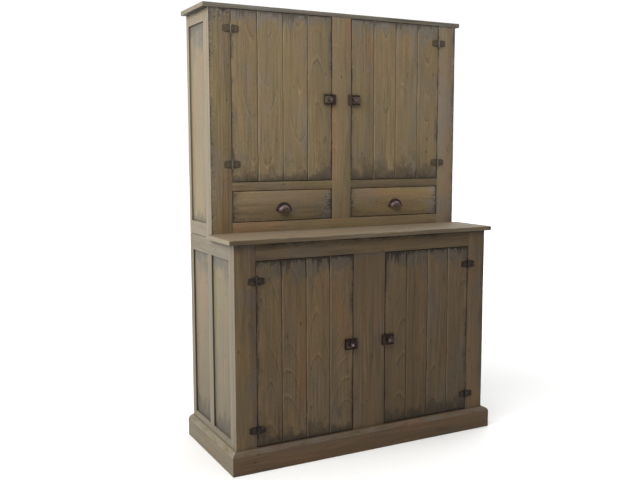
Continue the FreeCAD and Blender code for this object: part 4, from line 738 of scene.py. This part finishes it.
for s, hand in ((-1, "left"), (1, "right")):
    name = "drawer_" + hand
    x0, x1 = mirror((CX + GAP, UX - GAP), s)
    w = Wood()
    board(w, (x0, x1), (FUP, FUP + 20), (1062.5, 1200.5), "x", "-y", UP_RAIL, bevel=2.2, nick=4.0, wax=(0.40, 0.56, 0.16), gap_shade=(0.42, 0.42), end_shade=0.35, tone=(1.09, 0.83) if s < 0 else (0.96, 1.24))
    w.build(name + "_front_look", name, [name + "_front"])
    w = Wood()
    yb = (FUP + 20, FUP + 270)
    for a, b in ((x0 + 1, x0 + 13), (x1 - 13, x1 - 1)):
        board(w, (a, b), yb, (1061, 1173), "y", "-x" if a == x0 + 1 else "+x", INNER, bevel=1.2, nick=1.0, step=40)
    board(w, (x0 + 13, x1 - 13), (yb[1] - 12, yb[1]), (1079, 1173), "x", "+y", INNER, bevel=1.2, nick=1.0, step=50)
    board(w, (x0 + 8, x1 - 8), yb, (1073, 1079), "x", "+z", INNER, bevel=0.8, nick=0, step=60)
    w.build(name + "_box_look", name, [name + "_box"])


# ------------------------------------------------------------------ hardware meshes
class Metal:
    """Collects metal shapes, in millimetres, into one mesh."""

    def __init__(self):
        self.bm = bmesh.new()

    def plate(self, outline, place, depth, ease=0.5, segs=2, which=0):
        """A flat plate from an outline in (a, b), its front at depth, with eased edges. place turns (a, b, depth) into a point."""
        bm = bmesh.new()
        low = [bm.verts.new(place(a, b, 0)) for a, b in outline]
        top = [bm.verts.new(place(a, b, depth)) for a, b in outline]
        n = len(outline)
        cap = bm.faces.new(top)
        bm.faces.new(list(reversed(low)))
        for i in range(n):
            bm.faces.new((low[i], low[(i + 1) % n], top[(i + 1) % n], top[i]))
        bmesh.ops.recalc_face_normals(bm, faces=bm.faces)
        if ease:
            bmesh.ops.bevel(bm, geom=list(cap.edges), offset=ease, segments=segs, profile=0.6, affect="EDGES", clamp_overlap=True)
        self.take(bm, which)

    def lathe(self, profile, place, segs=28, which=0):
        """A turned shape from (radius, distance) pairs. place turns (a, b, distance) into a point."""
        bm = bmesh.new()
        rings = []
        for r, d in profile:
            if r < 1e-6:
                rings.append([bm.verts.new(place(0, 0, d))])
            else:
                rings.append([bm.verts.new(place(r * math.cos(2 * math.pi * i / segs), r * math.sin(2 * math.pi * i / segs), d)) for i in range(segs)])
        for p, q in zip(rings, rings[1:]):
            for i in range(segs):
                j = (i + 1) % segs
                if len(p) == 1 and len(q) == 1:
                    continue
                if len(p) == 1:
                    bm.faces.new((p[0], q[i], q[j]))
                elif len(q) == 1:
                    bm.faces.new((p[i], q[0], p[j]))
                else:
                    bm.faces.new((p[i], q[i], q[j], p[j]))
        for end in (rings[0], rings[-1]):
            if len(end) > 1:
                bm.faces.new(end)
        bmesh.ops.recalc_face_normals(bm, faces=bm.faces)
        self.take(bm, which)

    def take(self, bm, which=0):
        for f in bm.faces:
            f.material_index = which
        me = bpy.data.meshes.new("part")
        bm.to_mesh(me)
        bm.free()
        self.bm.from_mesh(me)
        bpy.data.meshes.remove(me)

    def build(self, name, body, nodes, mat, slot, sharp=38, more=(), polish_and_light=None):
        """The last argument turns a point into (polish with a painted highlight, painted shade), for irons with
        polished places and painted light.
        """
        me = bpy.data.meshes.new(name)
        marks = [c for v in self.bm.verts for c in (*polish_and_light(*v.co), 0.0)] if polish_and_light else None
        bmesh.ops.scale(self.bm, vec=(MM, MM, MM), verts=self.bm.verts)
        self.bm.to_mesh(me)
        self.bm.free()
        me.materials.append(mat)
        for other in more:
            me.materials.append(other)
        me.polygons.foreach_set("use_smooth", [True] * len(me.polygons))
        me.set_sharp_from_angle(angle=math.radians(sharp))
        if marks:
            me.attributes.new("polish_and_light", "FLOAT_VECTOR", "POINT").data.foreach_set("vector", marks)
        o = bpy.data.objects.new(name, me)
        bpy.context.scene.collection.objects.link(o)
        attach(o, body)
        if nodes:
            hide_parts(*nodes)
        return o


def screw_head(m, x, y, z, r=3.2, turn=0.0, out=-1):
    """A domed slotted head that stands in front of y, or behind it where out is 1."""

    def place(a, b, d):
        return (x + a, y + out * d, z + b)

    bm = bmesh.new()
    segs, rows = 20, 4
    c, s = math.cos(turn), math.sin(turn)
    rings = []
    for k in range(rows + 1):
        rr = r * math.cos(math.radians(82) * k / rows)
        dd = 0.25 + 1.2 * math.sin(math.radians(82) * k / rows)
        rings.append([bm.verts.new(place(rr * math.cos(2 * math.pi * i / segs), rr * math.sin(2 * math.pi * i / segs), dd)) for i in range(segs)])
    foot = [bm.verts.new(place(r * math.cos(2 * math.pi * i / segs), r * math.sin(2 * math.pi * i / segs), 0)) for i in range(segs)]
    rings.insert(0, foot)
    for p, q in zip(rings, rings[1:]):
        for i in range(segs):
            j = (i + 1) % segs
            bm.faces.new((p[i], q[i], q[j], p[j]))
    bm.faces.new(rings[-1])
    bm.faces.new(list(reversed(foot)))
    # press the slot into the dome
    for v in bm.verts:
        a, b, d = v.co.x - x, v.co.z - z, out * (v.co.y - y)
        across = -a * s + b * c
        if abs(across) < r * 0.17 and d > 0.3:
            v.co.y -= out * d * 0.55
    bmesh.ops.recalc_face_normals(bm, faces=bm.faces)
    m.take(bm)


def curve(points, steps=5):
    """A smooth line through points (Catmull-Rom), ends kept."""
    out = []
    p = [points[0]] + list(points) + [points[-1]]
    for i in range(1, len(p) - 2):
        for k in range(steps):
            t = k / steps
            a, b, c, d = p[i - 1], p[i], p[i + 1], p[i + 2]
            out.append(tuple(0.5 * (2 * b[j] + (c[j] - a[j]) * t + (2 * a[j] - 5 * b[j] + 4 * c[j] - d[j]) * t * t + (3 * b[j] - a[j] - 3 * c[j] + d[j]) * t**3) for j in range(2)))
    out.append(tuple(points[-1]))
    return out


TIP = curve([(28.2, 15.0), (32.0, 14.4), (35.4, 12.8), (37.9, 10.2), (38.9, 7.0), (38.1, 3.4), (36.6, 0)], 4)
LEAF = [(5.2, 16.9), (14.0, 16.5)] + TIP + [(a, -b) for a, b in reversed(TIP[:-1])] + [(14.0, -16.5), (5.2, -16.9)]
HOLES = [(14.0, -9.35), (14.0, 9.35), (31.2, 0.0)]


def hinge_leaf(m, hx, face, hz, out, knuckles):
    def flat(a, b, d):
        return (hx + out * a, face - d, hz + b)

    m.plate(LEAF, flat, 2.5, 0.7, 2)
    # a raised border line that follows the outline
    inner = [(6.6 + (a - 5.2) * 0.90, b * 0.86) for a, b in LEAF]
    m.plate(inner, lambda a, b, d: (hx + out * a, face - 2.3 - d, hz + b), 0.55, 0.3, 1, 2)
    for k0, k1 in knuckles:
        m.lathe([(2.05, k0), (4.0, k0), (4.4, k0 + 0.5), (4.4, k1 - 0.5), (4.0, k1), (2.05, k1)], lambda a, b, d: (hx + a, face - 4.6 + b, hz + d), 24, 1)
        arm = [(2.4, k0), (6.0, k0), (6.0, k1), (2.4, k1)]
        m.plate(arm, flat, 2.5, 0)


def hinge_screws(m, hx, face, hz, out, turn):
    for i, (a, b) in enumerate(HOLES):
        screw_head(m, hx + out * a, face - 2.9, hz + b, 3.1, turn + i * 1.1)


MIDK = [(-5.7, 5.7)]
ENDK = [(-17, -6), (6, 17)]
pins, leaves_f, keepers, fscrews = Metal(), Metal(), Metal(), Metal()
KNOB = curve([(4.0, 0.3), (5.9, 0.5), (6.0, 1.3), (5.2, 2.1), (4.4, 3.2), (4.5, 4.4), (5.8, 5.4), (8.4, 6.4), (10.4, 8.2), (11.0, 10.3), (10.3, 12.3), (8.0, 13.7), (4.0, 14.35), (0.0, 14.5)], 3)
for di, (name, s, face, mid, jamb, z0, z1, hinges, lz, mat) in enumerate(DOORS):
    hx = s * (jamb - GAP / 2)
    leaves, screws = Metal(), Metal()
    for hi, hz in enumerate(hinges):
        hinge_leaf(leaves, hx, face, hz, -s, MIDK)
        hinge_screws(screws, hx, face, hz, -s, 0.4 + di + hi)
        hinge_leaf(leaves_f, hx, face, hz, s, ENDK)
        hinge_screws(fscrews, hx, face, hz, s, 0.9 + di + hi)
        axis = lambda a, b, d: (hx + a, face - 4.6 + b, hz + d)
        for k in (-1, 1):
            ball = [(1.95, k * 16.5), (1.95, k * 17.3)] + [(3.1 * math.sin(q), k * (20.1 - 3.1 * math.cos(q))) for q in [math.radians(x) for x in (38, 60, 80, 100, 120, 140, 160)]] + [(0, k * 23.2)]
            pins.lathe(ball, axis, 20)
        pins.lathe([(1.95, -16.6), (1.95, 16.6)], axis, 16)
    leaves.build(name + "_hinge_leaves_look", name, [name + "_hinge_leaves"], HINGE, "hinge_iron", more=(PIN, HINGE_FACE))
    # latch: the case keeps its CAD shape with eased edges, under a cast cover with a rim and a boss; the boss round the
    # knob is in the dark case iron, a painted shadow of the knob
    edge = mid + GAP
    cover, kn = Metal(), Metal()
    cxm = s * (edge + 21)

    def on_case(a, b, d):
        return (cxm + a, face - 11 - d, lz + b)

    def rounded(hw, hh, r, n=5):
        pts = []
        for cx0, cy0, a0 in ((hw - r, hh - r, 0), (-hw + r, hh - r, 90), (-hw + r, -hh + r, 180), (hw - r, -hh + r, 270)):
            for k in range(n + 1):
                q = math.radians(a0 + 90 * k / n)
                pts.append((cx0 + r * math.cos(q), cy0 + r * math.sin(q)))
        return pts

    cover.plate(rounded(19.8, 15.2, 2.5), on_case, 1.0, 0.7, 2)
    ka = s * (edge + 13) - cxm
    cover.lathe([(12.4, 0.0), (12.4, 1.3), (11.8, 1.7), (9.4, 1.7), (8.8, 2.2), (7.2, 2.3), (6.6, 1.7), (6.5, 0.0)], lambda a, b, d: on_case(ka + a, b, d), 40, 1)
    cover.build(name + "_latch_cover", name, [], COVER, "latch_iron", more=(LATCH,))
    for k in (-1, 1):
        screw_head(screws, cxm, face - 11, lz + k * 20, 3.1, 0.7 + di * 0.8 + k)
    screws.build(name + "_screws_look", name, [name + "_screws"], HINGE, "screw_iron")
    kx = s * (edge + 13)
    kn.lathe(KNOB + [], lambda a, b, d: (kx + a, face - 11 - d, lz + b), 36)
    kn.lathe([(3.95, -3.5), (3.95, 0.4)], lambda a, b, d: (kx + a, face - 11 - d, lz + b), 20)
    # the knob's crown is painted bright, a highlight and polish, dimmer on the lower right door
    kn.build(name + "_knob_look", name + "_knob_turn", [name + "_knob"], KNOB_IRON, "latch_iron", 60,
             polish_and_light=lambda x, y, z: (max(0.0, 1.15 - math.hypot(x - kx, z - lz) / 6.5) * (0.55 if name == "door_lower_right" else 1.0) if face - 11 - y > 11 else 0.0, 1.0))
    for k in (-1, 1):
        screw_head(fscrews, s * (mid - 8), face - 11, lz + k * 20, 3.1, 1.3 + di + k)
    # two screws through each batten into each door board
    inside = Metal()
    x0, x1 = mirror((mid + GAP, jamb - GAP), s)
    bw = (x1 - x0) / 4
    for zc in (z0 + 120, z1 - 120):
        for i in range(4):
            xc = x0 + bw * (i + 0.5) + (6, 0, 0, -6)[i]
            for k in (-1, 1):
                screw_head(inside, xc + 15 * k, face + 38, zc + 17 * k, 3.6, 0.4 + di + i * 0.9 + k, 1)
    inside.build(name + "_batten_screws", name, [], HINGE, "screw_iron")
leaves_f.build("hinge_frame_leaves_look", "carcase", ["hinge_frame_leaves"], HINGE, "hinge_iron", more=(PIN, HINGE_FACE))
pins.build("hinge_pins_look", "carcase", ["hinge_pins"], PIN, "hinge_iron", 50)
fscrews.build("frame_screws_look", "carcase", ["frame_screws"], HINGE, "screw_iron")


def back_nails():
    """Cut nails through the back boards into the floors, shelves and tops, two to a board."""
    m = Metal()
    step = 2 * IN_X / 6
    for row, z in enumerate((91, 511, 984, 1051, 1233, 1483, 1737, 1992)):
        for i in range(6):
            for k in (-1, 1):
                x = -IN_X + step * (i + 0.5) + k * 62 + 9 * perlin.noise(Vector((i * 3.7, row * 2.3, k * 1.9)))
                zz = z + 4 * perlin.noise(Vector((i * 2.9, k * 3.1, row * 1.7)))
                m.lathe([(3.1, -0.4), (3.1, 0.3), (2.7, 0.7), (1.5, 0.95), (0, 1.0)], lambda a, b, d: (x + a, BACK + d, zz + b), 10)
    m.build("back_nails", "carcase", [], HINGE, "screw_iron")


back_nails()


def ease_cad(node, mat, width):
    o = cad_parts[node]
    o.data.materials.clear()
    o.data.materials.append(mat)
    b = o.modifiers.new("eased", "BEVEL")
    b.width = width
    b.segments = 2
    b.limit_method = "ANGLE"
    b.angle_limit = math.radians(40)


ease_cad("latch_keepers", KEEP, 0.0009)
for name, *_ in DOORS:
    ease_cad(name + "_latch_case", LATCH, 0.0009)
    ease_cad(name + "_bolt", LATCH, 0.0004)


# ------------------------------------------------------------------ cup pulls
def cup_pull(name, px):
    m = Metal()
    pz, rx, ry, rz = 1106.0, 32.0, 25.0, 31.0
    # the shell: a quarter egg with a rolled lower lip, thick enough to show its edge
    bm = bmesh.new()
    nu, nv = 40, 16
    outer, inner = [], []
    for j in range(nv + 1):
        phi = math.pi / 2 * j / nv  # 0 at the lower lip, 90 degrees at the back of the cup
        ro, ri = [], []
        for i in range(nu + 1):
            th = math.pi * i / nu
            for k, (kx, ky, kz, row) in enumerate(((rx, ry, rz, ro), (rx - 2.2, ry - 2.2, rz - 2.2, ri))):
                x = kx * math.cos(th)
                rad = math.sin(th)
                y = ky * rad * math.cos(phi)
                z = kz * rad * math.sin(phi)
                row.append(bm.verts.new((px + x, FUP - max(y, 0.02), pz + z)))
        outer.append(ro)
        inner.append(ri)
    for grid, flip in ((outer, False), (inner, True)):
        for j in range(nv):
            for i in range(nu):
                q = (grid[j][i], grid[j][i + 1], grid[j + 1][i + 1], grid[j + 1][i])
                bm.faces.new(q[::-1] if flip else q)
    for i in range(nu):
        bm.faces.new((outer[0][i], inner[0][i], inner[0][i + 1], outer[0][i + 1]))
        bm.faces.new((outer[nv][i], outer[nv][i + 1], inner[nv][i + 1], inner[nv][i]))
    bmesh.ops.remove_doubles(bm, verts=bm.verts, dist=0.03)
    bmesh.ops.dissolve_degenerate(bm, edges=bm.edges, dist=0.001)
    bmesh.ops.recalc_face_normals(bm, faces=bm.faces)
    m.take(bm)

    # the flange: a half ring with small ears at its feet, and a bead round the cup
    def on_face(a, b, d):
        return (px + a, FUP - d, pz + b)

    arc = [(40.6 * math.cos(q), 40.6 * math.sin(q)) for q in [math.radians(6 + 168 * k / 44) for k in range(45)]]
    hole = [(29.5 * math.cos(q), 29.5 * math.sin(q)) for q in [math.radians(180 - 180 * k / 44) for k in range(45)]]
    ring = [(41.0, 0.2)] + arc + [(-41.0, 0.2), (-29.5, 0.2)] + hole[1:-1] + [(29.5, 0.2)]
    bm = bmesh.new()
    low = [bm.verts.new(on_face(a, b, 0)) for a, b in ring]
    top = [bm.verts.new(on_face(a * 0.985, b * 0.985 + 0.2, 2.4)) for a, b in ring]
    n = len(ring)
    out_n = len(arc) + 2
    # strips across the half ring, from the outer line to the inner one
    half = n // 2
    for grid, flip in ((top, False), (low, True)):
        for k in range(half - 1):
            q = (grid[k], grid[k + 1], grid[n - 2 - k], grid[n - 1 - k])
            bm.faces.new(q if not flip else q[::-1])
    for k in range(n):
        bm.faces.new((low[k], low[(k + 1) % n], top[(k + 1) % n], top[k]))
    bmesh.ops.recalc_face_normals(bm, faces=bm.faces)
    m.take(bm)
    bead = []
    for k in range(49):
        q = math.radians(180 * k / 48)
        bead.append((math.cos(q), math.sin(q)))
    for radius_x, radius_z, thick, depth in ((33.2, 32.2, 1.2, 2.3), (38.0, 37.6, 2.3, 2.0)):
        bm = bmesh.new()
        rows = []
        for ca, sa in bead:
            row = []
            for t in range(8):
                q = 2 * math.pi * t / 8
                rr = thick * math.cos(q)
                row.append(bm.verts.new(on_face((radius_x + rr) * ca, max(0.15, (radius_z + rr) * sa), depth + thick * math.sin(q))))
            rows.append(row)
        for p, q in zip(rows, rows[1:]):
            for t in range(8):
                bm.faces.new((p[t], q[t], q[(t + 1) % 8], p[(t + 1) % 8]))
        bm.faces.new(rows[0])
        bm.faces.new(list(reversed(rows[-1])))
        bmesh.ops.recalc_face_normals(bm, faces=bm.faces)
        m.take(bm)
    for k in (-1, 1):
        screw_head(m, px + k * 36, FUP - 2.4, pz + 6, 2.4, 0.5 + k)
    def polish_and_light(x, y, z):
        a, b = x - px, z - pz
        out = math.hypot(a / rx, b / rz)
        # a painted highlight in an arc under the bead, more on the right, and along the lip, partly polish; weaker on
        # the left, where the shell also gets painted shade; the flange and bead are darker
        arc = max(0.0, 1.0 - abs(out - 0.72) / 0.24)
        polish_and_highlight = 0.10 + arc * (0.35 + 0.60 * min(1.0, max(0.0, a / rx + 0.25)))
        if b < 2.5 and out < 0.9:
            polish_and_highlight = min(1.0, polish_and_highlight + 0.45)
        return polish_and_highlight * (0.55 if a < -6 else 1.0), 1.0 - 0.38 * min(1.0, max(0.0, -a / rx - 0.05) / 0.4) if out < 0.93 else 0.62

    m.build(name + "_look", name.replace("_pull", ""), [name], PULL, "pull_iron", 50, polish_and_light=polish_and_light)


cup_pull("drawer_left_pull", -305.75)
cup_pull("drawer_right_pull", 305.75)

# ------------------------------------------------------------------ floor, light, camera
n = Nodes("floor_white")
n.bsdf.inputs["Base Color"].default_value = (0.80, 0.80, 0.80, 1)
n.bsdf.inputs["Roughness"].default_value = 0.9
n.bsdf.inputs["Specular IOR Level"].default_value = 0.1
# far behind the cupboard the floor glows up to the backdrop's white, so that no horizon shows
pos = n.add("ShaderNodeTexCoord").outputs["Object"]
fx, fy, fz = n.split(pos)
away = n.math("SQRT", n.plus(n.mul(fx, fx), n.plus(n.mul(fy, fy), 0.01)))
towards = n.math("DIVIDE", n.plus(n.mul(fx, 0.42), n.mul(fy, 0.90)), away)
glow = n.mul(n.smooth(away, 1.2, 5.0), n.smooth(towards, -0.2, 0.55))
n.bsdf.inputs["Emission Color"].default_value = (1.0, 1.0, 1.0, 1)
n.put(n.bsdf.inputs["Emission Strength"], n.mul(glow, 0.75))
me = bpy.data.meshes.new("floor")
me.from_pydata([(-40, -40, 0), (40, -40, 0), (40, 40, 0), (-40, 40, 0)], [], [(0, 1, 2, 3)])
me.materials.append(n.mat)
floor = bpy.data.objects.new("floor", me)
floor.location.z = -0.0005
bpy.context.scene.collection.objects.link(floor)

# a white backdrop behind the cupboard, dimmer towards the front and the right
world = bpy.data.worlds.new("studio")
bpy.context.scene.world = world
world.use_nodes = True
wt = world.node_tree
bg = wt.nodes["Background"]
coord = wt.nodes.new("ShaderNodeTexCoord")
dot = wt.nodes.new("ShaderNodeVectorMath")
dot.operation = "DOT_PRODUCT"
dot.inputs[1].default_value = (0.42, 0.90, 0.10)
wt.links.new(coord.outputs["Generated"], dot.inputs[0])
fall = wt.nodes.new("ShaderNodeMapRange")
fall.interpolation_type = "SMOOTHSTEP"
fall.inputs["From Min"].default_value = 0.05
fall.inputs["From Max"].default_value = 0.70
fall.inputs["To Min"].default_value = 0.36
fall.inputs["To Max"].default_value = 1.04
wt.links.new(dot.outputs["Value"], fall.inputs["Value"])
wt.links.new(fall.outputs[0], bg.inputs["Strength"])
bg.inputs["Color"].default_value = (1.0, 1.0, 1.0, 1)


def area(name, spot, aim, w, h, power, colour=(1, 1, 1)):
    li = bpy.data.lights.new(name, "AREA")
    li.shape = "RECTANGLE"
    li.size, li.size_y = w, h
    li.energy = power
    li.color = colour
    o = bpy.data.objects.new(name, li)
    o.location = spot
    d = Vector(aim) - Vector(spot)
    o.rotation_euler = d.to_track_quat("-Z", "Y").to_euler()
    bpy.context.scene.collection.objects.link(o)
    return o


area("key", (-4.4, -0.7, 3.9), (0, 0, 1.3), 2.2, 2.2, 200, (1.0, 0.98, 0.95))
area("top", (-2.2, -2.3, 4.6), (-0.2, 0, 1.0), 2.6, 2.2, 120, (1.0, 0.99, 0.97))
area("floor_fill", (1.9, 0.8, 6.0), (0.6, 0.3, 0), 5.0, 5.0, 225, (1.0, 1.0, 1.0))

cam = bpy.data.cameras.new("camera")
cam.sensor_width = 36.0
cam.lens = 44.706
cam.clip_end = 200
co = bpy.data.objects.new("camera", cam)
yaw, pitch, roll = math.radians(27.662), math.radians(-6.487), math.radians(-0.068)
fw = Vector((math.sin(yaw) * math.cos(pitch), math.cos(yaw) * math.cos(pitch), math.sin(pitch)))
right = Vector((math.cos(yaw), -math.sin(yaw), 0))
up = right.cross(fw)
right, up = right * math.cos(roll) + up * math.sin(roll), up * math.cos(roll) - right * math.sin(roll)
rot = Matrix((right, up, -fw)).transposed()
co.matrix_world = Matrix.Translation((-1.8670, -3.3439, 1.3880)) @ rot.to_4x4()
bpy.context.scene.collection.objects.link(co)
bpy.context.scene.camera = co
bpy.context.scene.view_settings.view_transform = "Standard"
bpy.context.scene.view_settings.look = "None"
